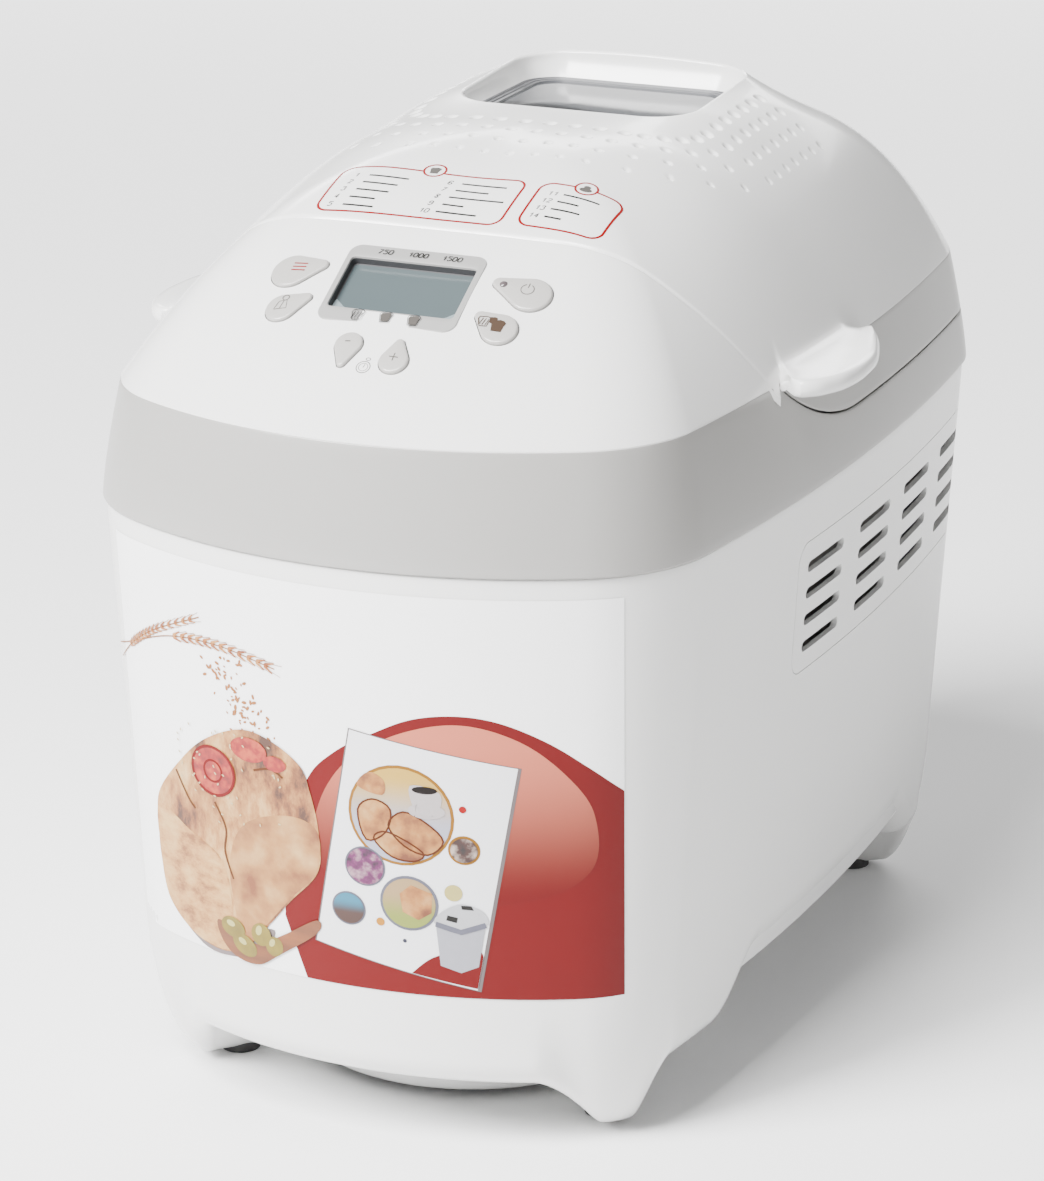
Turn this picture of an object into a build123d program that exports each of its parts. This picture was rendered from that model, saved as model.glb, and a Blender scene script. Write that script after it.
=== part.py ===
from build123d import *
import math
import os

os.makedirs("parts", exist_ok=True)

# A domestic bread machine, lid closed. Millimetres, +Z up, the front faces -Y, and the origin is on the
# resting plane under the middle of the body.

# ---- Body outline in plan, at the lower edge of the grey band, its widest level
half_width = 136.3
front_y = -206.6
rear_y = 206.6
side_bow_y = 24.3
front_bow = 197.0
side_bow = 1209.0
rear_bow = 556.0
front_corner = 62.2
rear_corner = 59.6

# ---- Heights of the outer shells
skirt_low_z = 27.0
skirt_curl = 13.0
band_low_z = 238.7
band_top_z = 285.4
band_lean = 8.2
band_overhang = 1.4
wall_draft = 0.062
dome_y = -6.8
dome_rise = 79.0
dome_front_power = 2.0
dome_side_power = 3.57
dome_rear_power = 4.76

# ---- Walls and clearances
shell_wall = 2.5
band_wall = 3.0
seam_gap = 0.4
part_gap = 0.3
slip_gap = 0.02
run_gap = 0.05

# ---- Seam between the control panel and the lid, seen from above
seam_y = -104.5
seam_flat_half = 60.0
seam_end_y = -66.0

# ---- Lid split line along the sides, grips and rear hinge
split_z = 260.0
split_flat_y = 5.0
grip_reach = 149.5
grip_y = -27.0
grip_length = 78.0
grip_z = 287.0
grip_thickness = 5.0
hinge_y = 198.0
hinge_barrel_r = 4.6
hinge_pin_r = 2.0
hinge_barrel_half = 55.0
hinge_ear_width = 6.0

# ---- Lid window
window_y = 63.0
window_width = 104.0
window_length = 88.0
window_corner = 20.0
window_front_z = 364.4
window_rear_z = 370.0
rim_flare = 11.0
well_low_z = 356.0
glass_z = 357.0
glass_thickness = 3.0
glass_ledge = 4.0
liner_inset = 14.0
liner_wall = 1.0

# ---- Feet, base and chassis
foot_top_r = 21.0
foot_low_r = 10.0
foot_low_z = 2.5
pad_r = 8.0
pad_height = 5.0
front_foot_low = (80.0, -127.0)
rear_foot_low = (81.0, 158.0)
base_z = 46.0
base_thickness = 2.5
dish_y = -72.0
dish_r = 78.0
dish_low_z = 3.0
arch_z = 41.0
arch_front_y = -88.0
arch_rear_y = 122.0
chassis_z = 66.0
chassis_thickness = 1.5
screw_r = 1.9
screw_head_r = 3.6
screw_head_height = 2.4

# ---- Baking chamber and pan, centred under the window
chamber_width = 200.0
chamber_length = 226.0
chamber_low_z = 76.0
chamber_wall = 0.8
chamber_corner = 16.0
deck_z = 251.5
deck_thickness = 2.5
pan_width = 144.0
pan_length = 190.0
pan_low_z = 98.0
pan_top_z = 236.0
pan_wall = 1.6
pan_corner = 24.0
pan_rim = 3.0
pan_ring_r = 47.6
pan_ring_z = 84.0
shaft_r = 4.0
bush_r = 9.0
paddle_reach = 55.0
paddle_hub_r = 11.0
paddle_z = 103.0
handle_r = 2.0
handle_z = 226.0
heater_r = 3.3
heater_z = 91.0

# ---- Drive
motor_y = -105.0
pulley_z = 51.0
pulley_height = 9.0
large_pulley_r = 46.0
motor_pulley_r = 10.0
belt_thickness = 2.2
spindle_r = 5.0
motor_side = 76.0
motor_height = 58.0

# ---- Control face
face_y = -135.4
face_z = 327.9
face_tilt = 26.0
face_pad = 1.2
bezel_width = 58.0
bezel_height = 40.0
lcd_width = 52.0
lcd_height = 29.5
button_travel = 1.0

# ---- Side vents and front label
vent_low_z = 162.5
vent_high_z = 217.0
vent_front_y = -53.0
vent_rear_y = 170.0
slot_length = 37.3
slot_height = 4.6
slot_first_y = -44.0
slot_pitch_y = 55.8
slot_first_z = 172.6
slot_pitch_z = 11.15
label_half = 103.0
label_low_z = 66.5
label_top_z = 230.3
label_film = 0.25


def save(piece, name):
    """Labels a finished piece and writes it to its own file."""
    piece.part.label = name
    export_step(piece.part, f"parts/{name}.step")


def crossing(centre_a, radius_a, centre_b, radius_b, towards):
    """The crossing of two circles that lies furthest in the given direction."""
    line = centre_b - centre_a
    along = (line.length**2 + radius_a**2 - radius_b**2) / (2 * line.length)
    across = math.sqrt(radius_a**2 - along**2)
    unit = line.normalized()
    normal = Vector(-unit.Y, unit.X)
    points = [centre_a + unit * along + normal * across * s for s in (1, -1)]
    return max(points, key=lambda p: p.dot(towards))


def flip(point):
    return Vector(-point.X, point.Y)


def corner_centres():
    """Centres of the front and rear corner arcs on the +X side."""
    front = Vector(0, front_y + front_bow)
    side = Vector(half_width - side_bow, side_bow_y)
    rear = Vector(0, rear_y - rear_bow)
    return (
        crossing(front, front_bow - front_corner, side, side_bow - front_corner, Vector(1, -1)),
        crossing(rear, rear_bow - rear_corner, side, side_bow - rear_corner, Vector(1, 1)),
    )


def outline(z, inset=0.0, side=1.0, front=1.0, rear=1.0):
    """The bowed plan outline at height z, inset by a wall and then drawn in towards the dome's middle."""
    width = (half_width - inset) * side
    low = dome_y + (front_y + inset - dome_y) * front
    high = dome_y + (rear_y - inset - dome_y) * rear
    bows = ((front_bow - inset) * side, side_bow - inset, (rear_bow - inset) * side)
    corners = ((front_corner - inset) * min(side, front), (rear_corner - inset) * min(side, rear))
    mid_front, mid_side, mid_rear = (
        Vector(0, low + bows[0]),
        Vector(width - bows[1], side_bow_y),
        Vector(0, high - bows[2]),
    )
    front_c = crossing(mid_front, bows[0] - corners[0], mid_side, bows[1] - corners[0], Vector(1, -1))
    rear_c = crossing(mid_rear, bows[2] - corners[1], mid_side, bows[1] - corners[1], Vector(1, 1))
    a = mid_front + (front_c - mid_front).normalized() * bows[0]
    b = mid_side + (front_c - mid_side).normalized() * bows[1]
    c = mid_side + (rear_c - mid_side).normalized() * bows[1]
    d = mid_rear + (rear_c - mid_rear).normalized() * bows[2]
    ab = front_c + ((a - front_c) + (b - front_c)).normalized() * corners[0]
    bc = mid_side + ((b - mid_side) + (c - mid_side)).normalized() * bows[1]
    cd = rear_c + ((c - rear_c) + (d - rear_c)).normalized() * corners[1]
    with BuildSketch(Plane.XY.offset(z)) as plan:
        with BuildLine():
            ThreePointArc(flip(a), Vector(0, low), a)
            ThreePointArc(a, ab, b)
            ThreePointArc(b, bc, c)
            ThreePointArc(c, cd, d)
            ThreePointArc(d, Vector(0, high), flip(d))
            ThreePointArc(flip(d), flip(cd), flip(c))
            ThreePointArc(flip(c), flip(bc), flip(b))
            ThreePointArc(flip(b), flip(ab), flip(a))
        make_face()
    return plan.sketch


def wall_inset(z):
    """How far the drafted housing wall stands inside the band's lower edge."""
    return band_overhang + (band_low_z - z) * wall_draft


def wall_solid(depth, low, high):
    """The housing's outer form between two heights, inset by a depth."""
    with BuildPart() as form:
        loft([outline(z, wall_inset(z) + depth) for z in (low, high)], ruled=True)
    return form.part


def band_solid(depth):
    """The grey band's form: it leans inwards as it rises."""
    with BuildPart() as form:
        loft([outline(band_low_z, depth), outline(band_top_z, band_lean + depth)], ruled=True)
    return form.part


def dome_solid(depth):
    """The dome over the band, with its skin a constant depth inside the outer one."""
    steps = (0.0, 0.1, 0.26, 0.45, 0.64, 0.8, 0.9, 0.96)
    with BuildPart() as form:
        loft(
            [
                outline(
                    band_top_z + (dome_rise - depth) * t,
                    band_lean + depth,
                    (1 - t) ** (1 / dome_side_power),
                    (1 - t) ** (1 / dome_front_power),
                    (1 - t) ** (1 / dome_rear_power),
                )
                for t in steps
            ]
        )
    return form.part


def behind_seam(shift):
    """Everything behind the seam, moved back by a shift. The seam runs straight in the middle and
    curves back to the sides."""
    reach = 2 * half_width
    rise = seam_end_y - seam_y
    run = half_width - band_lean - seam_flat_half
    radius = (run**2 + rise**2) / (2 * rise)
    turn = math.radians(70)
    end = Vector(
        seam_flat_half + (radius - shift) * math.sin(turn),
        seam_y + radius - (radius - shift) * math.cos(turn),
    )
    mid = Vector(
        seam_flat_half + (radius - shift) * math.sin(turn / 2),
        seam_y + radius - (radius - shift) * math.cos(turn / 2),
    )
    start = Vector(seam_flat_half, seam_y + shift)
    with BuildPart() as region:
        with BuildSketch():
            with BuildLine():
                Line(flip(start), start)
                ThreePointArc(start, mid, end)
                Polyline(
                    end, (reach, end.Y), (reach, 2 * rear_y), (-reach, 2 * rear_y), (-reach, end.Y), flip(end)
                )
                ThreePointArc(flip(end), flip(mid), flip(start))
            make_face()
        extrude(amount=window_rear_z + dome_rise)
    return region.part


def lid_side(lift):
    """Everything above the split line along the sides, as a profile run across the whole width."""
    reach = seam_end_y - band_lean
    rise = band_top_z - split_z
    run = split_flat_y - seam_end_y
    radius = (run**2 + rise**2) / (2 * rise)
    mid_y = split_flat_y - run / 2
    mid_z = split_z + radius - math.sqrt(radius**2 - (run / 2) ** 2)
    with BuildPart() as region:
        with BuildSketch(Plane.YZ):
            with BuildLine():
                Line((2 * rear_y, split_z + lift), (split_flat_y, split_z + lift))
                ThreePointArc(
                    (split_flat_y, split_z + lift), (mid_y, mid_z + lift), (
                        seam_end_y + lift, band_top_z + lift
                    )
                )
                Polyline(
                    (seam_end_y + lift, band_top_z + lift),
                    (reach, window_rear_z),
                    (2 * rear_y, window_rear_z),
                    (2 * rear_y, split_z + lift),
                )
            make_face()
        extrude(amount=2 * half_width, both=True)
    return region.part


def rod(radius, start, direction, length):
    """A plain cylinder from a point along a direction."""
    with BuildPart() as piece:
        with BuildSketch(Plane(origin=start, z_dir=direction)):
            Circle(radius)
        extrude(amount=length)
    return piece.part


def block(low, high):
    """A plain box between two corners."""
    size = [b - a for a, b in zip(low, high)]
    with BuildPart(Plane(origin=[(a + b) / 2 for a, b in zip(low, high)])) as piece:
        Box(*size)
    return piece.part


def rounded_bar(z, width, length, corner, height, y=window_y):
    """A rounded rectangle centred on the chamber, drawn up from height z."""
    with BuildPart() as piece:
        with BuildSketch(Plane(origin=(0, y, z))):
            RectangleRounded(width, length, corner)
        extrude(amount=height)
    return piece.part


front_c, rear_c = corner_centres()
feet = []
for (low_x, low_y), centre, y_sign, corner in (
    (front_foot_low, front_c, -1, front_corner),
    (rear_foot_low, rear_c, 1, rear_corner),
):
    reach = corner - wall_inset(base_z) - foot_top_r - shell_wall / 2
    turn = math.radians(40)
    feet.append((low_x, low_y, centre.X + reach * math.cos(turn), centre.Y + y_sign * reach * math.sin(turn)))
feet += [(-a, b, -c, d) for a, b, c, d in feet]


def foot_form(foot, shrink, low, high):
    """One foot as a tapering round lobe, shrunk by a wall where it's hollow."""
    low_x, low_y, top_x, top_y = foot
    with BuildPart() as form:
        with BuildSketch(Plane(origin=(low_x, low_y, low))):
            Circle(foot_low_r - shrink)
        with BuildSketch(Plane(origin=(top_x, top_y, high))):
            Circle(foot_top_r - shrink)
        loft(ruled=True)
    return form.part


# ---- Lower housing: drafted glossy shell, curled in at its lower edge, with the feet moulded on
foot_top_z = base_z - part_gap
boss_places = [(x, y) for x in (-104, 104) for y in (-72, 36, 112)]
boss_r = 4.5
boss_high_z = 74.0
boss_low_z = base_z + base_thickness + part_gap
with BuildPart() as lower_housing:
    add(wall_solid(0, skirt_low_z + skirt_curl, band_low_z - part_gap))
    loft(
        [
            outline(
                skirt_low_z + skirt_curl * (1 - math.sin(math.radians(a))),
                wall_inset(skirt_low_z + skirt_curl) + skirt_curl * (1 - math.cos(math.radians(a))),
            )
            for a in (75, 50, 25, 0)
        ]
    )
    add(wall_solid(shell_wall, skirt_low_z + skirt_curl, band_low_z), mode=Mode.SUBTRACT)
    loft(
        [
            outline(skirt_low_z - 1, wall_inset(skirt_low_z + skirt_curl) + skirt_curl),
            outline(skirt_low_z + skirt_curl, wall_inset(skirt_low_z + skirt_curl) + shell_wall),
        ],
        ruled=True,
        mode=Mode.SUBTRACT,
    )
    with BuildSketch(Plane.YZ) as arch:
        with BuildLine():
            FilletPolyline(
                (arch_front_y, 0), (arch_front_y + 22, arch_z), (arch_rear_y - 22, arch_z), (arch_rear_y, 0), radius=14
            )
            Line((arch_rear_y, 0), (arch_front_y, 0))
        make_face()
    extrude(amount=2 * half_width, both=True, mode=Mode.SUBTRACT)
    for foot in feet:
        add(foot_form(foot, 0, foot_low_z, foot_top_z))
    for foot in feet:
        add(foot_form(foot, shell_wall, foot_low_z + 6, foot_top_z + 1), mode=Mode.SUBTRACT)
        add(rod(pad_r + part_gap, (foot[0], foot[1], 0), (0, 0, 1), pad_height), mode=Mode.SUBTRACT)
    for x, y in boss_places:
        add(rod(boss_r, (x, y, boss_low_z), (0, 0, 1), boss_high_z - boss_low_z))
        side = math.copysign(1, x)
        rib_low, rib_high = sorted((x, side * (half_width - wall_inset(boss_high_z) - shell_wall / 2)))
        add(block((rib_low, y - 1.2, boss_low_z), (rib_high, y + 1.2, boss_high_z)) & wall_solid(0.5, base_z, 90))
        add(rod(screw_r + slip_gap, (x, y, base_z), (0, 0, 1), 20), mode=Mode.SUBTRACT)


def vent_opening(margin, side):
    """The rounded side panel that a grille fills, grown by a margin, as a bar through one side wall."""
    with BuildPart() as bar:
        with BuildSketch(Plane.YZ.offset(side * 60)):
            with Locations(((vent_front_y + vent_rear_y) / 2, (vent_low_z + vent_high_z) / 2)):
                RectangleRounded(
                    vent_rear_y - vent_front_y + 2 * margin, vent_high_z - vent_low_z + 2 * margin, 8 + margin
                )
        extrude(amount=side * half_width)
    return bar.part


# ---- Side vent grilles: slotted inserts, with a flange behind the housing wall
flange_lap = 4.0
flange_wall = 1.6
for side, name in ((1, "vent_grille_right"), (-1, "vent_grille_left")):
    lower_housing.part -= vent_opening(part_gap, side)
    with BuildPart() as grille:
        add(wall_solid(0, vent_low_z - 20, vent_high_z + 15))
        add(wall_solid(shell_wall, vent_low_z - 20, vent_high_z + 15), mode=Mode.SUBTRACT)
        add(vent_opening(0, side), mode=Mode.INTERSECT)
        flange = wall_solid(shell_wall + part_gap, vent_low_z - 20, vent_high_z + 15)
        flange = flange - wall_solid(shell_wall + part_gap + flange_wall, vent_low_z - 20, vent_high_z + 15)
        add((flange & vent_opening(flange_lap, side)) - vent_opening(-flange_lap, side))
        web = wall_solid(shell_wall / 2, vent_low_z - 20, vent_high_z + 15)
        web = web - wall_solid(shell_wall + part_gap + flange_wall / 2, vent_low_z - 20, vent_high_z + 15)
        add((web & vent_opening(0, side)) - vent_opening(-flange_lap, side))
        with BuildSketch(Plane.YZ.offset(side * 60)):
            for row in range(4):
                for column in range(4):
                    middle = slot_first_y + column * slot_pitch_y + slot_length / 2
                    with Locations((middle, slot_first_z + row * slot_pitch_z)):
                        SlotOverall(slot_length, slot_height)
        extrude(amount=side * half_width, mode=Mode.SUBTRACT)
    save(grille, name)

# ---- Cord gland: a flanged bushing through the rear wall
gland_x, gland_z = 60.0, 96.0
gland_neck_r, gland_flange_r, cord_r = 7.0, 10.0, 3.6
gland_flange = 3.0
gland_low_y, gland_high_y = 182.0, 197.5
lower_housing.part -= rod(gland_neck_r + slip_gap, (gland_x, gland_low_y, gland_z), (0, 1, 0), 40)
save(lower_housing, "lower_housing")
with BuildPart() as cord_gland:
    add(rod(gland_neck_r, (gland_x, gland_low_y, gland_z), (0, 1, 0), gland_high_y - gland_low_y))
    add(rod(gland_flange_r, (gland_x, gland_high_y - gland_flange, gland_z), (0, 1, 0), gland_flange))
    add(rod(gland_flange_r, (gland_x, gland_low_y + 1.5, gland_z), (0, 1, 0), gland_flange))
    wall = wall_solid(-slip_gap, gland_z - 16, gland_z + 16) - wall_solid(
        shell_wall + slip_gap, gland_z - 16, gland_z + 16
    )
    add(wall - rod(gland_neck_r, (gland_x, gland_low_y, gland_z), (0, 1, 0), 40), mode=Mode.SUBTRACT)
    add(rod(cord_r, (gland_x, gland_low_y - 1, gland_z), (0, 1, 0), 40), mode=Mode.SUBTRACT)
save(cord_gland, "cord_gland")

# ---- Rubber pads pushed up into the feet
with BuildPart() as foot_pads:
    for foot in feet:
        add(rod(pad_r, (foot[0], foot[1], 0), (0, 0, 1), pad_height - part_gap))
save(foot_pads, "foot_pads")

# ---- Base plate: closes the housing and bulges down into a round dish under the front
pillar_places = [(x, y) for x in (-92, 92) for y in (-100, 140)]
pillar_r = 5.0
with BuildPart() as base_plate:
    with BuildSketch(Plane.XY.offset(base_z)):
        add(outline(0, wall_inset(base_z) + shell_wall + part_gap))
    extrude(amount=base_thickness)
    with BuildSketch(Plane.XZ.offset(-dish_y)) as dish_profile:
        with BuildLine():
            FilletPolyline(
                (0, dish_low_z), (dish_r - 3, dish_low_z), (dish_r, base_z + base_thickness / 2), radius=8
            )
            Polyline((dish_r, base_z + base_thickness / 2), (0, base_z + base_thickness / 2), (0, dish_low_z))
        make_face()
    revolve(axis=Axis((0, dish_y, 0), (0, 0, 1)))
    add(
        rod(dish_r - 3 - shell_wall, (0, dish_y, dish_low_z + shell_wall), (0, 0, 1), base_z),
        mode=Mode.SUBTRACT,
    )
    for x, y in pillar_places:
        add(rod(pillar_r, (x, y, base_z), (0, 0, 1), chassis_z - base_z))
        add(
            rod(screw_r + slip_gap, (x, y, base_z + base_thickness), (0, 0, 1), chassis_z - base_z),
            mode=Mode.SUBTRACT,
        )
    for x, y in boss_places:
        add(rod(screw_r + part_gap, (x, y, 0), (0, 0, 1), 2 * base_z), mode=Mode.SUBTRACT)
save(base_plate, "base_plate")

with BuildPart() as base_screws:
    for x, y in boss_places:
        add(rod(screw_head_r, (x, y, base_z - screw_head_height), (0, 0, 1), screw_head_height))
        add(rod(screw_r, (x, y, base_z - screw_head_height), (0, 0, 1), screw_head_height + 18))
save(base_screws, "base_screws")

# ---- Front label: a thin printed film on the housing's front, wrapping round its corners
with BuildPart() as front_label:
    add(wall_solid(-label_film, label_low_z - 5, label_top_z + 5))
    add(wall_solid(-slip_gap, label_low_z - 6, label_top_z + 6), mode=Mode.SUBTRACT)
    with BuildSketch(Plane.XZ):
        with Locations((0, (label_low_z + label_top_z) / 2)):
            RectangleRounded(2 * label_half, label_top_z - label_low_z, 3)
    extrude(amount=-2 * front_y, mode=Mode.INTERSECT)
save(front_label, "front_label")

# ---- Grey band: the fixed trim below, and the lid's rim above the split line
skirt_depth = 8.0
scoop_r = hinge_barrel_r + 0.5
relief_r = 8.0
relief_half = hinge_barrel_half + hinge_ear_width + 16
hinge_z = split_z - seam_gap / 2
band_shell = band_solid(0) - band_solid(band_wall)
relief = rod(relief_r, (-relief_half, hinge_y, hinge_z), (1, 0, 0), 2 * relief_half)
with BuildPart() as trim_band:
    add(band_shell)
    add(lid_side(-seam_gap), mode=Mode.SUBTRACT)
    with BuildSketch(Plane.XY.offset(band_low_z - skirt_depth)):
        add(outline(0, band_overhang + shell_wall + part_gap + skirt_depth * wall_draft))
        add(
            outline(0, band_overhang + shell_wall + part_gap + skirt_depth * wall_draft + 2),
            mode=Mode.SUBTRACT,
        )
    extrude(amount=skirt_depth)
    with BuildSketch(Plane.XY.offset(band_low_z)):
        add(outline(0, part_gap))
        add(
            outline(0, band_overhang + shell_wall + part_gap + skirt_depth * wall_draft + 2),
            mode=Mode.SUBTRACT,
        )
    extrude(amount=2.0)
    add(relief, mode=Mode.SUBTRACT)
save(trim_band, "trim_band")

ear_inner = hinge_barrel_half + 0.5
ear_outer = ear_inner + hinge_ear_width
with BuildPart() as lid_rim:
    add(band_shell)
    add(lid_side(0), mode=Mode.INTERSECT)
    for side in (1, -1):
        add(
            rod(scoop_r, (side * (ear_inner - 0.5), hinge_y, hinge_z), (side, 0, 0), hinge_ear_width + 1),
            mode=Mode.SUBTRACT,
        )
    add(rod(hinge_barrel_r, (-hinge_barrel_half, hinge_y, hinge_z), (1, 0, 0), 2 * hinge_barrel_half))
    for side in (1, -1):
        add(
            rod(hinge_pin_r + run_gap, (side * (hinge_barrel_half - 5), hinge_y, hinge_z), (side, 0, 0), 20),
            mode=Mode.SUBTRACT,
        )
save(lid_rim, "lid_rim")

deck_top = deck_z + deck_thickness
with BuildPart() as hinge_brackets:
    for side in (1, -1):
        low, high = sorted((side * ear_inner, side * ear_outer))
        add(rod(hinge_barrel_r, (low, hinge_y, hinge_z), (1, 0, 0), high - low))
        add(block((low, hinge_y - 4.2, deck_top), (high, hinge_y - 1.0, hinge_z)))
        add(block((low, hinge_y - 6.5, deck_top), (high, hinge_y - 1.0, deck_top + 1.5)))
        add(
            rod(hinge_pin_r + slip_gap, (low - 1, hinge_y, hinge_z), (1, 0, 0), high - low + 2),
            mode=Mode.SUBTRACT,
        )
save(hinge_brackets, "hinge_brackets")

with BuildPart() as hinge_pins:
    for side in (1, -1):
        add(rod(hinge_pin_r, (side * (hinge_barrel_half - 4.5), hinge_y, hinge_z), (side, 0, 0), 5 + hinge_ear_width))
save(hinge_pins, "hinge_pins")

# ---- Chamber surround: the deck under the lid, with the chamber's mouth in it
with BuildPart() as chamber_surround:
    with BuildSketch(Plane.XY.offset(deck_z)):
        add(outline(0, band_wall + band_lean * 0.5 + part_gap))
        with Locations((0, window_y)):
            RectangleRounded(
                chamber_width + 2 * part_gap, chamber_length + 2 * part_gap, chamber_corner + part_gap, mode=Mode.SUBTRACT
            )
    extrude(amount=deck_thickness)
save(chamber_surround, "chamber_surround")

# ---- Control panel: the fixed front of the dome, with openings for the display and buttons
face = Plane(
    origin=(0, face_y, face_z),
    x_dir=(1, 0, 0),
    z_dir=(0, -math.sin(math.radians(face_tilt)), math.cos(math.radians(face_tilt))),
)


def face_place(x, y, depth=0.0):
    """A plane on the control face, at a place across and up it, sunk by a depth."""
    return Plane(origin=face.from_local_coords((x, y, -depth)), x_dir=face.x_dir, z_dir=face.z_dir)


# Each button: name, place across and up the face, length, width and the turn of its pointed end.
buttons = (
    ("button_menu", -42.0, 5.0, 23.0, 16.6, 19),
    ("button_weight", -39.8, -13.5, 19.0, 13.2, 34),
    ("button_start", 43.9, 6.0, 24.8, 16.4, 167),
    ("button_crust", 40.6, -12.6, 19.5, 14.4, 153),
    ("button_minus", -9.2, -36.8, 16.4, 11.2, -88),
    ("button_plus", 10.8, -33.4, 16.2, 11.6, 94),
)


def face_bar(depth, width, height, corner, amount):
    """A rounded bar standing up from the control face's middle, from a depth below it."""
    with BuildPart() as bar:
        with BuildSketch(face_place(0, 0, depth)):
            RectangleRounded(width, height, corner)
        extrude(amount=amount)
    return bar.part


def prism(profile, amount):
    """A profile drawn out into a plain solid."""
    with BuildPart() as bar:
        extrude(profile, amount=amount)
    return bar.part


def teardrop(place, length, width, turn, grow=0.0):
    """A drop-shaped outline: a round end and a pointed end, on the control face."""
    radius = width / 2
    tip = radius * 0.32
    span = length - radius - tip
    with BuildSketch(Plane(place.location * Rotation(0, 0, turn))) as drop:
        with BuildLine():
            lean = math.acos((radius - tip) / span)
            start = Vector(-span / 2, 0)
            finish = Vector(span / 2, 0)
            up = Vector(math.cos(lean), math.sin(lean))
            down = Vector(math.cos(lean), -math.sin(lean))
            Line(start + up * (radius + grow), finish + up * (tip + grow))
            ThreePointArc(
                finish + up * (tip + grow), finish + Vector(tip + grow, 0), finish + down * (tip + grow)
            )
            Line(finish + down * (tip + grow), start + down * (radius + grow))
            ThreePointArc(
                start + down * (radius + grow), start - Vector(radius + grow, 0), start + up * (radius + grow)
            )
        make_face()
    return drop.sketch


bezel_neck = 4.0
bezel_clear = 0.25
reach = 40.0
flange_grow = 1.0
flange_thick = 1.2
button_gap = 0.35
dome_outer = dome_solid(0)
raised = dome_solid(-face_pad)
with BuildPart() as control_panel:
    add(dome_outer)
    add(behind_seam(0), mode=Mode.SUBTRACT)
    inner = dome_solid(shell_wall) - behind_seam(-shell_wall)
    add(inner, mode=Mode.SUBTRACT)
    add(block((-half_width, 2 * front_y, 0), (half_width, rear_y, band_top_z + part_gap)), mode=Mode.SUBTRACT)
    add(face_bar(20, bezel_width - bezel_neck, bezel_height - bezel_neck, 4, reach), mode=Mode.SUBTRACT)
    for name, x, y, length, width, turn in buttons:
        add(prism(teardrop(face_place(x, y, 25), length, width, turn, button_gap), 50), mode=Mode.SUBTRACT)
save(control_panel, "control_panel")

# ---- Display: a raised bezel, a clear window and the display module behind it
with BuildPart() as display_bezel:
    add(face_bar(12, bezel_width - bezel_neck - 2 * bezel_clear, bezel_height - bezel_neck - 2 * bezel_clear, 4, reach))
    add(raised, mode=Mode.INTERSECT)
    add((face_bar(12, bezel_width, bezel_height, 5, reach) & raised) - dome_solid(-slip_gap))
    add(face_bar(20, lcd_width, lcd_height, 2, 2 * reach), mode=Mode.SUBTRACT)
save(display_bezel, "display_bezel")

pane_depth = 3.2
pane_thick = 1.2
with BuildPart() as display_window:
    with BuildSketch(face_place(0, 0, pane_depth)):
        RectangleRounded(lcd_width - 2 * bezel_clear, lcd_height - 2 * bezel_clear, 1.8)
    extrude(amount=pane_thick)
save(display_window, "display_window")

module_thick = 5.0
with BuildPart() as display_module:
    with BuildSketch(face_place(0, 0, pane_depth + module_thick + part_gap)):
        RectangleRounded(lcd_width - 2 * bezel_clear, lcd_height - 2 * bezel_clear, 1.8)
    extrude(amount=module_thick)
save(display_module, "display_module")

# ---- Control board behind the face, with a switch under each button
board_depth = 19.0
board_thick = 1.6
board_width = 98.0
board_top, board_low = 17.0, -42.0
with BuildPart() as control_board:
    with BuildSketch(face_place(0, 0, board_depth + board_thick)):
        with Locations((0, (board_top + board_low) / 2)):
            RectangleRounded(board_width, board_top - board_low, 4)
    extrude(amount=board_thick)
save(control_board, "control_board")

switch_height = 3.0
stem_low = board_depth - switch_height - button_travel - part_gap
stem_r = 2.2
with BuildPart() as button_switches:
    for name, x, y, length, width, turn in buttons:
        with BuildSketch(face_place(x, y, board_depth)):
            Rectangle(6, 6)
        extrude(amount=switch_height - 0.8)
        with BuildSketch(face_place(x, y, board_depth - switch_height + 0.8)):
            Circle(1.6)
        extrude(amount=0.8)
save(button_switches, "button_switches")

lamp_x, lamp_y, lamp_r = 38.4, 7.1, 1.5
under_skin = dome_solid(shell_wall + part_gap)
under_flange = dome_solid(shell_wall + part_gap + flange_thick)
for name, x, y, length, width, turn in buttons:
    with BuildPart() as button:
        add(prism(teardrop(face_place(x, y, stem_low), length, width, turn), reach))
        add(raised, mode=Mode.INTERSECT)
        add(prism(teardrop(face_place(x, y, stem_low), length, width, turn, flange_grow), reach) & under_skin)
        add(under_flange, mode=Mode.SUBTRACT)
        add(rod(stem_r, face.from_local_coords((x, y, -stem_low)), face.z_dir, stem_low + 2) & dome_outer)
        if name == "button_start":
            lamp_low = face.from_local_coords((lamp_x, lamp_y, -stem_low - 5))
            add(rod(lamp_r + part_gap, lamp_low, face.z_dir, reach), mode=Mode.SUBTRACT)
    save(button, name)

with BuildPart() as status_lamp:
    add(rod(lamp_r, face.from_local_coords((lamp_x, lamp_y, -board_depth)), face.z_dir, reach))
    add(dome_outer, mode=Mode.INTERSECT)
save(status_lamp, "status_lamp")

# ---- Lid shell: the dome behind the seam, its crater-like window rim and the two side grips
rim_tilt = math.degrees(math.atan2(window_rear_z - window_front_z, window_length))
rim_mid_z = (window_front_z + window_rear_z) / 2
rim_normal = (0, -math.sin(math.radians(rim_tilt)), math.cos(math.radians(rim_tilt)))
rim_plane = Plane(origin=(0, window_y, rim_mid_z), x_dir=(1, 0, 0), z_dir=rim_normal)
well_taper = 5.0


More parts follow.
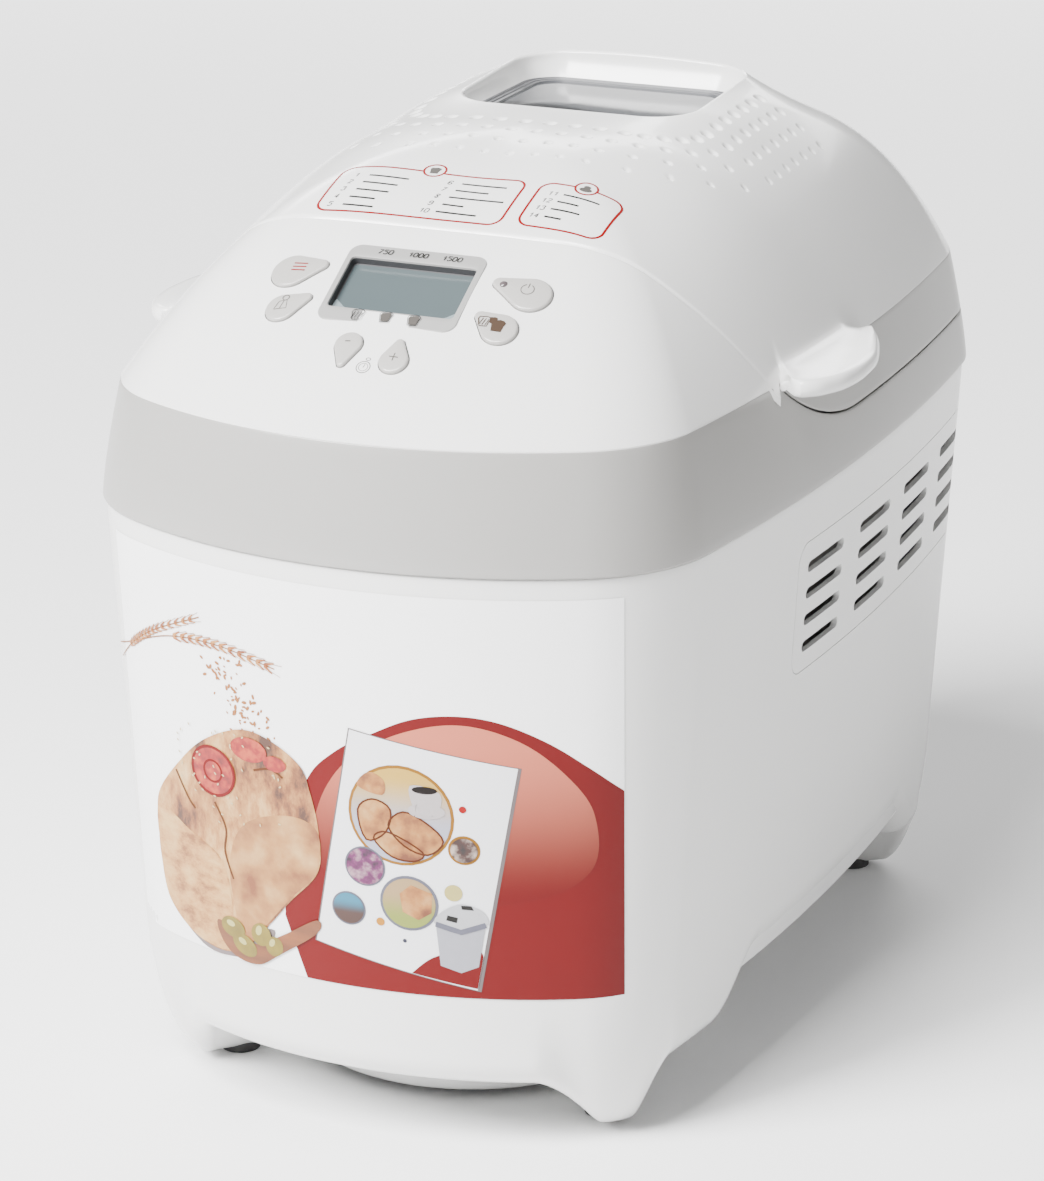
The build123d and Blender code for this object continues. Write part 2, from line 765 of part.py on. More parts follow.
def well(grow_top, grow_low, plane_lift, low):
    """The window well: a rounded opening that narrows from the tilted rim down to a level floor."""
    with BuildPart() as form:
        with BuildSketch(
            Plane(origin=rim_plane.from_local_coords((0, 0, plane_lift)), x_dir=(1, 0, 0), z_dir=rim_normal)
        ):
            RectangleRounded(
                window_width + 2 * grow_top, window_length + 2 * grow_top, window_corner + grow_top
            )
        with BuildSketch(Plane(origin=(0, window_y, low))):
            RectangleRounded(
                window_width + 2 * grow_low, window_length + 2 * grow_low, window_corner + grow_low
            )
        loft(ruled=True)
    return form.part


glass_top = glass_z + glass_thickness
pane_grow = glass_ledge - well_taper
with BuildPart() as lid_shell:
    add(dome_outer)
    add(behind_seam(seam_gap), mode=Mode.INTERSECT)
    add(dome_solid(shell_wall) & behind_seam(seam_gap + shell_wall), mode=Mode.SUBTRACT)
    add(block((-half_width, 2 * front_y, 0), (half_width, rear_y, band_top_z + 0.01)), mode=Mode.SUBTRACT)
    add(well(3, rim_flare + 6, 0, well_low_z))
    with BuildSketch(Plane.XY.offset(grip_z)):
        with Locations((0, grip_y)):
            Ellipse(grip_reach, grip_length / 2)
        add(outline(0, band_lean + 1), mode=Mode.SUBTRACT)
    extrude(amount=grip_thickness)
    add(well(0, -well_taper, 0, glass_top), mode=Mode.SUBTRACT)
    add(well(0, 0, 40, rim_mid_z + 3.1), mode=Mode.SUBTRACT)
    add(
        rounded_bar(
            well_low_z - 10,
            window_width + 2 * pane_grow,
            window_length + 2 * pane_grow,
            window_corner,
            glass_top - well_low_z + 10,
        ),
        mode=Mode.SUBTRACT,
    )
save(lid_shell, "lid_shell")

with BuildPart() as lid_window:
    add(
        rounded_bar(
            glass_z,
            window_width + 2 * pane_grow - 2 * part_gap,
            window_length + 2 * pane_grow - 2 * part_gap,
            window_corner - part_gap,
            glass_thickness - part_gap,
        )
    )
save(lid_window, "lid_window")

# ---- Lid liner: a pressed metal tray inside the dome, with its own window pane and a gasket
liner_mouth = 0.8
liner_top_z = band_top_z + (dome_rise - liner_inset) * 0.96
liner_low_z = split_z + 3.0
with BuildPart() as lid_liner:
    add(band_solid(liner_inset))
    add(dome_solid(liner_inset))
    add(behind_seam(liner_inset), mode=Mode.INTERSECT)
    add(block((-half_width, 2 * front_y, 0), (half_width, 2 * rear_y, liner_low_z)), mode=Mode.SUBTRACT)
    hollow = (band_solid(liner_inset + liner_wall) + dome_solid(liner_inset + liner_wall)) & behind_seam(
        liner_inset + liner_wall
    )
    add(hollow, mode=Mode.SUBTRACT)
    add(
        rounded_bar(
            liner_top_z - 20, window_width * liner_mouth, window_length * liner_mouth, window_corner, 60
        ),
        mode=Mode.SUBTRACT,
    )
save(lid_liner, "lid_liner")

with BuildPart() as lid_inner_window:
    add(
        rounded_bar(
            liner_top_z + part_gap, window_width * liner_mouth + 8, window_length * liner_mouth + 8, window_corner, 2.5
        )
    )
save(lid_inner_window, "lid_inner_window")

gasket_width = 6.0
gasket_low_z = deck_top + part_gap
with BuildPart() as lid_gasket:
    with BuildSketch(Plane.XY.offset(gasket_low_z)):
        add(outline(0, liner_inset + 2))
        add(outline(0, liner_inset + 2 + gasket_width), mode=Mode.SUBTRACT)
    extrude(amount=liner_low_z - slip_gap - gasket_low_z)
    add(behind_seam(liner_inset + liner_wall), mode=Mode.INTERSECT)
save(lid_gasket, "lid_gasket")

# ---- Baking chamber: a folded steel box, open at the top, with a flange that hangs on the deck
wall_front_y = window_y - chamber_length / 2
seat_hole_r = 24.0
heater_reach_x = 86.0
heater_reach_y = 104.0
heater_leg_x = 24.0
insulator_r = 6.0
sensor_z = 205.0
sensor_r = 2.5
with BuildPart() as baking_chamber:
    add(rounded_bar(chamber_low_z, chamber_width, chamber_length, chamber_corner, deck_top - chamber_low_z))
    add(
        rounded_bar(
            chamber_low_z + chamber_wall,
            chamber_width - 2 * chamber_wall,
            chamber_length - 2 * chamber_wall,
            chamber_corner - chamber_wall,
            deck_top,
        ),
        mode=Mode.SUBTRACT,
    )
    add(rod(seat_hole_r, (0, window_y, 0), (0, 0, 1), 2 * chamber_low_z), mode=Mode.SUBTRACT)
    for x in (-heater_leg_x, heater_leg_x):
        add(rod(insulator_r + slip_gap, (x, wall_front_y - 5, heater_z), (0, 1, 0), 10), mode=Mode.SUBTRACT)
    add(rod(sensor_r + slip_gap, (0, wall_front_y - 5, sensor_z), (0, 1, 0), 10), mode=Mode.SUBTRACT)
save(baking_chamber, "baking_chamber")

spacer_places = [(x, window_y + y) for x in (-72, 72) for y in (-88, 88)]
with BuildPart() as chamber_spacers:
    for x, y in spacer_places:
        add(rod(7, (x, y, chassis_z + chassis_thickness), (0, 0, 1), chamber_low_z - chassis_z - chassis_thickness))
save(chamber_spacers, "chamber_spacers")

# ---- Heating element: a sheathed loop round the pan, whose two legs leave through the front wall
with BuildPart() as heating_element:
    low_y, high_y = window_y - heater_reach_y, window_y + heater_reach_y
    with BuildLine() as element_path:
        FilletPolyline(
            (heater_leg_x, wall_front_y - 14, heater_z),
            (heater_leg_x, low_y, heater_z),
            (heater_reach_x, low_y, heater_z),
            (heater_reach_x, high_y, heater_z),
            (-heater_reach_x, high_y, heater_z),
            (-heater_reach_x, low_y, heater_z),
            (-heater_leg_x, low_y, heater_z),
            (-heater_leg_x, wall_front_y - 14, heater_z),
            radius=7,
        )
    with BuildSketch(Plane(origin=(heater_leg_x, wall_front_y - 14, heater_z), z_dir=(0, 1, 0))):
        Circle(heater_r)
    sweep(path=element_path.wires()[0])
save(heating_element, "heating_element")

with BuildPart() as heater_insulators:
    for x in (-heater_leg_x, heater_leg_x):
        add(rod(insulator_r, (x, wall_front_y - 5, heater_z), (0, 1, 0), 6.5))
        add(rod(heater_r + slip_gap, (x, wall_front_y - 20, heater_z), (0, 1, 0), 40), mode=Mode.SUBTRACT)
save(heater_insulators, "heater_insulators")

with BuildPart() as temperature_sensor:
    add(rod(sensor_r, (0, wall_front_y - 10, sensor_z), (0, 1, 0), 17))
    add(rod(sensor_r + 3, (0, wall_front_y - 2.5, sensor_z), (0, 1, 0), 2.5 - slip_gap))
save(temperature_sensor, "temperature_sensor")

fuse_x, fuse_z = 45.0, 150.0
with BuildPart() as thermal_fuse:
    add(rod(2.2, (fuse_x - 8, wall_front_y - 4.5, fuse_z), (1, 0, 0), 16))
    add(
        block((fuse_x - 5, wall_front_y - 2.5, fuse_z - 5), (fuse_x + 5, wall_front_y - slip_gap, fuse_z + 5))
    )
save(thermal_fuse, "thermal_fuse")

# ---- Pan seat and its spring clips
floor_z = chamber_low_z + chamber_wall
seat_outer_r = pan_ring_r + part_gap + 3.0
seat_top_z = pan_ring_z + 8.0
with BuildPart() as pan_seat:
    with BuildSketch(Plane.XZ.offset(-window_y)):
        with BuildLine():
            Polyline(
                (seat_hole_r, floor_z),
                (seat_outer_r, floor_z),
                (seat_outer_r, seat_top_z),
                (pan_ring_r + part_gap, seat_top_z),
                (pan_ring_r + part_gap, pan_ring_z),
                (seat_hole_r + 12, pan_ring_z),
                (seat_hole_r + 10, floor_z + 2.5),
                (seat_hole_r, floor_z + 2.5),
                (seat_hole_r, floor_z),
            )
        make_face()
    revolve(axis=Axis((0, window_y, 0), (0, 0, 1)))
save(pan_seat, "pan_seat")

clip_thick = 0.8
clip_width = 14.0
with BuildPart() as pan_clips:
    for side in (1, -1):
        inner_x = side * (seat_outer_r + slip_gap)
        outer_x = side * (seat_outer_r + slip_gap + clip_thick)
        tip_x = side * (seat_outer_r - 2.2)
        low, high = sorted((inner_x, outer_x))
        add(block((low, window_y - clip_width / 2, floor_z), (high, window_y + clip_width / 2, seat_top_z + 3)))
        low, high = sorted((tip_x, outer_x))
        add(
            block(
                (low, window_y - clip_width / 2, seat_top_z + 3), (
                    high, window_y + clip_width / 2, seat_top_z + 3 + clip_thick
                )
            )
        )
        low, high = sorted((outer_x, outer_x + side * 8))
        add(block((low, window_y - clip_width / 2, floor_z), (high, window_y + clip_width / 2, floor_z + clip_thick)))
save(pan_clips, "pan_clips")

# ---- Bread pan: a deep drawn box with a rolled rim, a base ring and two handle pivots
pan_draft = 5.0
pivot_y = pan_length / 2
pivot_out = 3.6


def pan_form(shrink, low, high):
    """The pan's tapered box between two heights, shrunk by a wall."""
    with BuildPart() as form:
        for z in (low, high):
            drawn = pan_draft * (pan_top_z - z) / (pan_top_z - pan_low_z)
            with BuildSketch(Plane(origin=(0, window_y, z))):
                RectangleRounded(
                    pan_width - 2 * shrink - 2 * drawn, pan_length - 2 * shrink - 2 * drawn, pan_corner - shrink
                )
        loft(ruled=True)
    return form.part


with BuildPart() as bread_pan:
    add(pan_form(0, pan_low_z, pan_top_z))
    add(pan_form(pan_wall, pan_low_z + pan_wall, pan_top_z + 1), mode=Mode.SUBTRACT)
    add(rounded_bar(pan_top_z - 1.5, pan_width + 2 * pan_rim, pan_length + 2 * pan_rim, pan_corner + pan_rim, 1.5))
    add(
        rounded_bar(
            pan_top_z - 2, pan_width - 2 * pan_wall, pan_length - 2 * pan_wall, pan_corner - pan_wall, 3
        ),
        mode=Mode.SUBTRACT,
    )
    with BuildSketch(Plane(origin=(0, window_y, pan_ring_z + slip_gap))):
        Circle(pan_ring_r)
        Circle(pan_ring_r - 3, mode=Mode.SUBTRACT)
    extrude(amount=pan_low_z - pan_ring_z)
    add(rod(bush_r + slip_gap, (0, window_y, 0), (0, 0, 1), pan_low_z + 20), mode=Mode.SUBTRACT)
    for side in (1, -1):
        add(rod(5.5, (0, window_y + side * (pivot_y - 4), handle_z), (0, side, 0), 4 + pivot_out - 1.6))
        add(rod(hinge_pin_r, (0, window_y + side * (pivot_y - 4), handle_z), (0, side, 0), 4 + pivot_out + 5))
    add(pan_form(pan_wall, pan_low_z + pan_wall, pan_top_z - 2), mode=Mode.SUBTRACT)
save(bread_pan, "bread_pan")

with BuildPart() as pan_bush:
    add(rod(bush_r, (0, window_y, pan_low_z - 8), (0, 0, 1), 8 + pan_wall + 0.5))
    add(rod(bush_r + 3, (0, window_y, pan_low_z - 3 - slip_gap), (0, 0, 1), 3))
    add(rod(shaft_r + run_gap, (0, window_y, 0), (0, 0, 1), 2 * pan_low_z), mode=Mode.SUBTRACT)
save(pan_bush, "pan_bush")

# ---- Pan shaft with its wing below, and the kneading paddle that drops over its flat
wing_z = 83.0
wing_high_z = 88.0
shaft_top_z = 129.0
flat_x = 2.6
with BuildPart() as pan_shaft:
    add(rod(shaft_r, (0, window_y, wing_z), (0, 0, 1), shaft_top_z - wing_z))
    add(block((-3, window_y - 18, wing_z), (3, window_y + 18, wing_high_z)))
    add(
        block((flat_x, window_y - 10, paddle_z - 0.5), (10, window_y + 10, shaft_top_z + 1)),
        mode=Mode.SUBTRACT,
    )
save(pan_shaft, "pan_shaft")

paddle_height = 24.0
blade_thick = 4.0
with BuildPart() as kneading_paddle:
    add(rod(paddle_hub_r, (0, window_y, paddle_z), (0, 0, 1), paddle_height))
    with BuildSketch(Plane(origin=(0, window_y, paddle_z + 1), z_dir=(0, 0, 1))):
        with BuildLine():
            FilletPolyline(
                (0, -blade_thick), (paddle_reach, -blade_thick * 0.6), (paddle_reach, blade_thick * 0.6), (0, blade_thick), radius=2
            )
            Line((0, blade_thick), (0, -blade_thick))
        make_face()
    extrude(amount=paddle_height - 3, taper=4)
    add(rod(shaft_r + run_gap, (0, window_y, 0), (0, 0, 1), 2 * shaft_top_z), mode=Mode.SUBTRACT)
    add(
        block(
            (flat_x + 2 * run_gap, window_y - shaft_r, paddle_z),
            (shaft_r + 1.5, window_y + shaft_r, paddle_z + paddle_height),
        )
    )
save(kneading_paddle, "kneading_paddle")

# ---- Pan handle: a wire bail, folded down along one side of the pan
eye_half = 2.4
handle_arm_y = pivot_y + pivot_out + handle_r + 1.0
handle_reach = pan_width / 2 + pan_rim + handle_r + 2.0
with BuildPart() as pan_handle:
    low_y, high_y = window_y - handle_arm_y, window_y + handle_arm_y
    with BuildLine() as handle_path:
        FilletPolyline(
            (3, low_y, handle_z),
            (handle_reach, low_y, handle_z),
            (handle_reach, high_y, handle_z),
            (3, high_y, handle_z),
            radius=14,
        )
    with BuildSketch(Plane(origin=(3, low_y, handle_z), z_dir=(1, 0, 0))):
        Circle(handle_r)
    sweep(path=handle_path.wires()[0])
    for y in (low_y, high_y):
        add(rod(4.6, (0, y - eye_half, handle_z), (0, 1, 0), 2 * eye_half))
        add(rod(hinge_pin_r + run_gap, (0, y - 10, handle_z), (0, 1, 0), 20), mode=Mode.SUBTRACT)
save(pan_handle, "pan_handle")

# ---- Drive: coupler, spindle in its bearing, large pulley, belt, motor pulley and motor
coupler_z = 79.5
with BuildPart() as drive_coupler:
    add(rod(19, (0, window_y, coupler_z), (0, 0, 1), 2.5))
    for side in (1, -1):
        low, high = sorted((side * 6, side * 16))
        add(block((low, window_y - 5, coupler_z), (high, window_y + 5, wing_high_z + 1)))
    add(rod(spindle_r + slip_gap, (0, window_y, coupler_z - 1), (0, 0, 1), 2.2), mode=Mode.SUBTRACT)
save(drive_coupler, "drive_coupler")

with BuildPart() as spindle:
    add(rod(spindle_r, (0, window_y, pulley_z), (0, 0, 1), coupler_z + 1 - pulley_z))
save(spindle, "spindle")

housing_low_z = pulley_z + pulley_height + 1.6
housing_high_z = coupler_z - 1.0
bearing_bore = 9.0
with BuildPart() as bearing_housing:
    add(rod(13, (0, window_y, housing_low_z), (0, 0, 1), housing_high_z - housing_low_z))
    add(rod(22, (0, window_y, chassis_z + chassis_thickness), (0, 0, 1), 2.5))
    add(rod(bearing_bore + slip_gap, (0, window_y, 0), (0, 0, 1), 2 * coupler_z), mode=Mode.SUBTRACT)
save(bearing_housing, "bearing_housing")

bush_length = 5.5
with BuildPart() as spindle_bushes:
    for z in (housing_low_z + 0.5, housing_high_z - 0.5 - bush_length):
        add(rod(bearing_bore, (0, window_y, z), (0, 0, 1), bush_length))
    add(rod(spindle_r + run_gap, (0, window_y, 0), (0, 0, 1), 2 * coupler_z), mode=Mode.SUBTRACT)
save(spindle_bushes, "spindle_bushes")


def pulley(radius, shaft, y):
    """A flat-belt pulley with two low flanges, a hub and a dished web on larger sizes."""
    flange = 0.7
    with BuildPart() as wheel:
        add(rod(radius, (0, y, pulley_z), (0, 0, 1), pulley_height))
        for z in (pulley_z, pulley_z + pulley_height - flange):
            add(rod(radius + belt_thickness, (0, y, z), (0, 0, 1), flange))
        if radius > 2 * motor_pulley_r:
            for z in (pulley_z - 1, pulley_z + pulley_height - 3):
                with BuildSketch(Plane(origin=(0, y, z))):
                    Circle(radius - 5)
                    Circle(shaft + 8, mode=Mode.SUBTRACT)
                extrude(amount=4, mode=Mode.SUBTRACT)
        add(rod(shaft + slip_gap, (0, y, pulley_z - 1), (0, 0, 1), 2 * pulley_height), mode=Mode.SUBTRACT)
    return wheel


save(pulley(large_pulley_r, spindle_r, window_y), "large_pulley")
motor_shaft_r = 4.0
save(pulley(motor_pulley_r, motor_shaft_r, motor_y), "motor_pulley")

belt_low_z = pulley_z + 1.0
belt_width = pulley_height - 2.0


def belt_loop(grow):
    """The outline of the belt where it wraps both pulleys, grown outwards."""
    with BuildSketch(Plane.XY.offset(belt_low_z)) as loop:
        with Locations((0, window_y)):
            Circle(large_pulley_r + grow)
        with Locations((0, motor_y)):
            Circle(motor_pulley_r + grow)
        make_hull()
    return loop.sketch


with BuildPart() as drive_belt:
    add(prism(belt_loop(part_gap + belt_thickness), belt_width))
    add(prism(belt_loop(part_gap), belt_width), mode=Mode.SUBTRACT)
save(drive_belt, "drive_belt")

motor_low_z = chassis_z + chassis_thickness + 8.0
with BuildPart() as motor_shaft:
    add(rod(motor_shaft_r, (0, motor_y, pulley_z), (0, 0, 1), motor_low_z + motor_height - pulley_z + 6))
save(motor_shaft, "motor_shaft")

motor_screw_places = [(x, motor_y + y) for x in (-30, 30) for y in (-30, 30)]
with BuildPart() as motor:
    with BuildSketch(Plane(origin=(0, motor_y, motor_low_z + 14))):
        RectangleRounded(motor_side, motor_side, 6)
    extrude(amount=motor_height - 28)
    add(rod(33, (0, motor_y, motor_low_z), (0, 0, 1), motor_height))
    for x, y in motor_screw_places:
        low = chassis_z + chassis_thickness
        add(rod(5, (x, y, low), (0, 0, 1), motor_low_z + 14 - low))
        add(rod(screw_r + slip_gap, (x, y, low - 1), (0, 0, 1), 14), mode=Mode.SUBTRACT)
    add(
        rod(motor_shaft_r + run_gap, (0, motor_y, 0), (0, 0, 1), 2 * motor_low_z + motor_height),
        mode=Mode.SUBTRACT,
    )
save(motor, "motor")

with BuildPart() as motor_screws:
    for x, y in motor_screw_places:
        add(rod(screw_head_r, (x, y, chassis_z - screw_head_height), (0, 0, 1), screw_head_height))
        add(rod(screw_r, (x, y, chassis_z - screw_head_height), (0, 0, 1), screw_head_height + 10))
save(motor_screws, "motor_screws")

capacitor_x, capacitor_y, capacitor_r = -78.0, -118.0, 15.0
with BuildPart() as run_capacitor:
    add(rod(capacitor_r, (capacitor_x, capacitor_y, chassis_z + chassis_thickness), (0, 0, 1), 58))
    for x in (-5, 5):
        add(
            block(
                (capacitor_x + x - 0.4, capacitor_y - 3, chassis_z + chassis_thickness + 57),
                (capacitor_x + x + 0.4, capacitor_y + 3, chassis_z + chassis_thickness + 66),
            )
        )
save(run_capacitor, "run_capacitor")

# ---- Chassis plate: carries the motor, the bearing and the chamber on the base plate's pillars
chassis_half = 104.0
chassis_front_y, chassis_rear_y = -152.0, 166.0
with BuildPart() as chassis_plate:
    with BuildSketch(Plane.XY.offset(chassis_z)):
        with Locations((0, (chassis_front_y + chassis_rear_y) / 2)):
            RectangleRounded(2 * (chassis_half - 6), chassis_rear_y - chassis_front_y, 30)
        with Locations((0, window_y)):
            Circle(13 + part_gap, mode=Mode.SUBTRACT)
        with Locations((0, motor_y)):
            Circle(motor_shaft_r + 4, mode=Mode.SUBTRACT)
        with Locations(*pillar_places, *motor_screw_places):
            Circle(screw_r + 0.2, mode=Mode.SUBTRACT)
    extrude(amount=chassis_thickness)
save(chassis_plate, "chassis_plate")

with BuildPart() as chassis_screws:
    for x, y in pillar_places:
        add(rod(screw_head_r, (x, y, chassis_z + chassis_thickness), (0, 0, 1), screw_head_height))
        add(rod(screw_r, (x, y, chassis_z - 12), (0, 0, 1), 13 + chassis_thickness))
save(chassis_screws, "chassis_screws")

# ---- Power board, standing beside the motor, with its larger components
power_x = 72.0
power_low_z, power_high_z = 71.0, 136.0
power_front_y, power_rear_y = -146.0, -72.0
with BuildPart() as power_board:
    add(block((power_x, power_front_y, power_low_z), (power_x + 1.6, power_rear_y, power_high_z)))
save(power_board, "power_board")

with BuildPart() as power_components:
    face_x = power_x + 1.6
    add(block((face_x, power_front_y + 6, power_low_z + 6), (face_x + 18, power_front_y + 30, power_low_z + 32)))
    add(block((face_x, power_front_y + 36, power_low_z + 8), (face_x + 12, power_front_y + 50, power_low_z + 28)))
    add(block((face_x, power_front_y + 54, power_low_z + 30), (face_x + 14, power_front_y + 68, power_low_z + 46)))
    add(rod(6, (face_x, power_front_y + 20, power_low_z + 48), (1, 0, 0), 15))
save(power_components, "power_components")
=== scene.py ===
import math

import bmesh
import bpy
import numpy as np
from mathutils import Matrix, Vector


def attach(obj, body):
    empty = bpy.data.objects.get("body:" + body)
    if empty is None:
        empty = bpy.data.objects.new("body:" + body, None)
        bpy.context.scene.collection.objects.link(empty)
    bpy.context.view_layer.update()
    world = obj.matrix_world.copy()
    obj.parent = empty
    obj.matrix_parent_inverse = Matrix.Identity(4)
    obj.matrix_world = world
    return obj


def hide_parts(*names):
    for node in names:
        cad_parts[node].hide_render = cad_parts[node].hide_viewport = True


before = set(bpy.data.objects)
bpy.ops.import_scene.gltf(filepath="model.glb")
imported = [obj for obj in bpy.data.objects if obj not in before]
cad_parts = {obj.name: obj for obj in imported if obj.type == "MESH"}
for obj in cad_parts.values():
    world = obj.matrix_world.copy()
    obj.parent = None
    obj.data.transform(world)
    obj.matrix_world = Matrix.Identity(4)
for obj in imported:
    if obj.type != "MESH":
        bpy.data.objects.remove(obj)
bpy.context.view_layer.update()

# ---- Housing: the drafted body shell, injection moulded in gloss white, curled in along its lower edge
# with four feet moulded on. It is one bowed outline in plan, drawn in as it goes down.
MM = 0.001
BAND_LOW = 238.7
BAND_TOP = 285.4
DRAFT = 0.062
OVERHANG = 1.4
BOWS = (197.0, 1209.0, 556.0)
CORNERS = (62.2, 59.6)
HALF_WIDTH, HALF_LENGTH, SIDE_MIDDLE = 136.3, 206.6, 24.3
CORNER_COLUMNS, SIDE_COLUMNS, END_COLUMNS = 70, 90, 60
LOOSE_ANGLE = 32


def strong(colour, power=1.8, share=0.55):
    """A colour mixed strong enough to read in bright light."""
    return tuple(share * c**power for c in colour)


class Wire:
    """One value in a finish. Arithmetic on it adds Math nodes."""

    def __init__(self, tree, socket=None):
        self.tree, self.socket = tree, socket

    def node(self, kind, settings=None, values=None, out=0):
        made = self.tree.nodes.new("ShaderNode" + kind)
        for name, value in (settings or {}).items():
            if name == "stops":
                ramp = made.color_ramp.elements
                while len(ramp) < len(value):
                    ramp.new(1.0)
                for stop, (place, colour) in zip(ramp, value):
                    stop.position, stop.color = place, (*colour, 1.0)
            else:
                setattr(made, name, value)
        for name, value in (values or {}).items():
            if isinstance(value, Wire):
                self.tree.links.new(value.socket, made.inputs[name])
            elif isinstance(value, (tuple, list)) and len(value) == 3 and made.inputs[name].type == "RGBA":
                made.inputs[name].default_value = (*value, 1.0)
            else:
                made.inputs[name].default_value = value
        return Wire(self.tree, made.outputs[out])

    def maths(self, operation, *values):
        return self.node("Math", {"operation": operation}, dict(enumerate(values)))

    def __add__(self, other):
        return self.maths("ADD", self, other)

    def __radd__(self, other):
        return self.maths("ADD", other, self)

    def __sub__(self, other):
        return self.maths("SUBTRACT", self, other)

    def __rsub__(self, other):
        return self.maths("SUBTRACT", other, self)

    def __mul__(self, other):
        return self.maths("MULTIPLY", self, other)

    def __rmul__(self, other):
        return self.maths("MULTIPLY", other, self)

    def __truediv__(self, other):
        return self.maths("DIVIDE", self, other)

    def tint(self, low, high):
        """Mixes two colours by this value."""
        return self.node("Mix", {"data_type": "RGBA"}, {0: self, 6: low, 7: high}, out=2)

    def noise(self, scale, detail=3.0, roughness=0.5):
        """Noise from 0 to 1 over this place."""
        return self.node(
            "TexNoise", None, {"Vector": self, "Scale": scale, "Detail": detail, "Roughness": roughness}
        )

    def between(self, low, high):
        """0 below low, 1 above high and smooth between."""
        return self.node(
            "MapRange", {"interpolation_type": "SMOOTHSTEP"}, {
                "Value": self, "From Min": low, "From Max": high
            }
        )

    def stretch(self, *scale):
        """This place, scaled along its axes."""
        return self.node("VectorMath", {"operation": "MULTIPLY"}, {0: self, 1: scale})


def finish(name, colour, roughness, bump=None, depth=0.0002, **shader):
    """A finish from a colour, a roughness and a bump height, each a value or a function of the place."""
    material = bpy.data.materials.new(name)
    material.use_nodes = True
    tree = material.node_tree
    body = tree.nodes["Principled BSDF"]
    place = Wire(tree).node("TexCoord", out=3)
    for socket, value in (("Base Color", colour), ("Roughness", roughness)):
        value = value(place) if callable(value) else value
        if isinstance(value, Wire):
            tree.links.new(value.socket, body.inputs[socket])
        else:
            body.inputs[socket].default_value = (*value, 1.0) if isinstance(value, tuple) else value
    if bump:
        normal = place.node("Bump", None, {"Strength": 1.0, "Distance": depth, "Height": bump(place)})
        tree.links.new(normal.socket, body.inputs["Normal"])
    for socket, value in shader.items():
        body.inputs[socket.replace("_", " ")].default_value = value
    return material


def moulded(name, base, dusk, roughness, **shader):
    """Injection-moulded plastic: faint clouding in its colour and gloss, and a very slight orange peel."""
    return finish(
        name,
        lambda place: place.noise(14.0, 4.0).tint(dusk, base),
        lambda place: roughness + 0.05 * place.noise(60.0, 3.0),
        lambda place: place.noise(420.0, 2.0) * 0.35 + place.noise(24.0, 2.0),
        0.00004,
        **shader,
    )


def crossing(centre_a, radius_a, centre_b, radius_b, towards):
    """The crossing of two circles that lies furthest in a direction."""
    line = centre_b - centre_a
    gap = np.hypot(*line)
    along = (gap**2 + radius_a**2 - radius_b**2) / (2 * gap)
    across = math.sqrt(radius_a**2 - along**2)
    unit = line / gap
    normal = np.array([-unit[1], unit[0]])
    return max((centre_a + unit * along + s * normal * across for s in (1, -1)), key=lambda p: p @ towards)


def bowed_outline():
    """Points and outward normals of the body in plan, anticlockwise from the middle of the front."""
    front = np.array([0, -HALF_LENGTH + BOWS[0]])
    side = np.array([HALF_WIDTH - BOWS[1], SIDE_MIDDLE])
    rear = np.array([0, HALF_LENGTH - BOWS[2]])
    front_corner = crossing(front, BOWS[0] - CORNERS[0], side, BOWS[1] - CORNERS[0], np.array([1, -1]))
    rear_corner = crossing(rear, BOWS[2] - CORNERS[1], side, BOWS[1] - CORNERS[1], np.array([1, 1]))

    def facing(centre, corner):
        return math.atan2(*(corner - centre)[::-1])

    angles = [-math.pi / 2]
    angles += [facing(front, front_corner), facing(side, front_corner), facing(side, rear_corner)]
    angles += [facing(rear, rear_corner), math.pi / 2]
    arcs = (
        (front, BOWS[0], END_COLUMNS),
        (front_corner, CORNERS[0], CORNER_COLUMNS),
        (side, BOWS[1], SIDE_COLUMNS),
        (rear_corner, CORNERS[1], CORNER_COLUMNS),
        (rear, BOWS[2], END_COLUMNS),
    )
    points, normals = [], []
    for (centre, radius, count), start, end in zip(arcs, angles, angles[1:]):
        turn = np.linspace(start, end, count, endpoint=False)
        ray = np.stack([np.cos(turn), np.sin(turn)], -1)
        points.append(centre + radius * ray)
        normals.append(ray)
    points, normals = np.concatenate(points), np.concatenate(normals)
    rear_end = np.array([[0, HALF_LENGTH]])
    mirrored = points[:0:-1] * (-1, 1), normals[:0:-1] * (-1, 1)
    return (
        np.concatenate([points, rear_end, mirrored[0]]),
        np.concatenate([normals, [[0, 1]], mirrored[1]]),
        (front_corner, rear_corner),
    )


OUTLINE, OUTWARD, CORNER_CENTRES = bowed_outline()


def smooth(value, low, high):
    """0 below low, 1 above high and smooth between."""
    t = np.clip((value - low) / (high - low), 0, 1)
    return t * t * (3 - 2 * t)


def ring(inset, z):
    """The outline moved in by an inset, at a height; both may vary along it."""
    flat = OUTLINE - OUTWARD * np.reshape(inset, (-1, 1))
    return np.column_stack([flat, np.broadcast_to(z, len(flat))])


def piece(name, points, faces, body, material, replaces=(), angle=LOOSE_ANGLE):
    """A mesh in millimetres, smooth up to an angle, on a body."""
    mesh = bpy.data.meshes.new(name)
    mesh.from_pydata((np.asarray(points, float) * MM).tolist(), [], faces)
    mesh.validate()
    made = bpy.data.objects.new(name, mesh)
    bpy.context.scene.collection.objects.link(made)
    made.data.materials.append(material)
    soften(made, angle)
    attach(made, body)
    if replaces:
        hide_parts(*replaces)
    return made


def soften(made, angle=LOOSE_ANGLE):
    made.data.polygons.foreach_set("use_smooth", [True] * len(made.data.polygons))
    made.data.set_sharp_from_angle(angle=math.radians(angle))


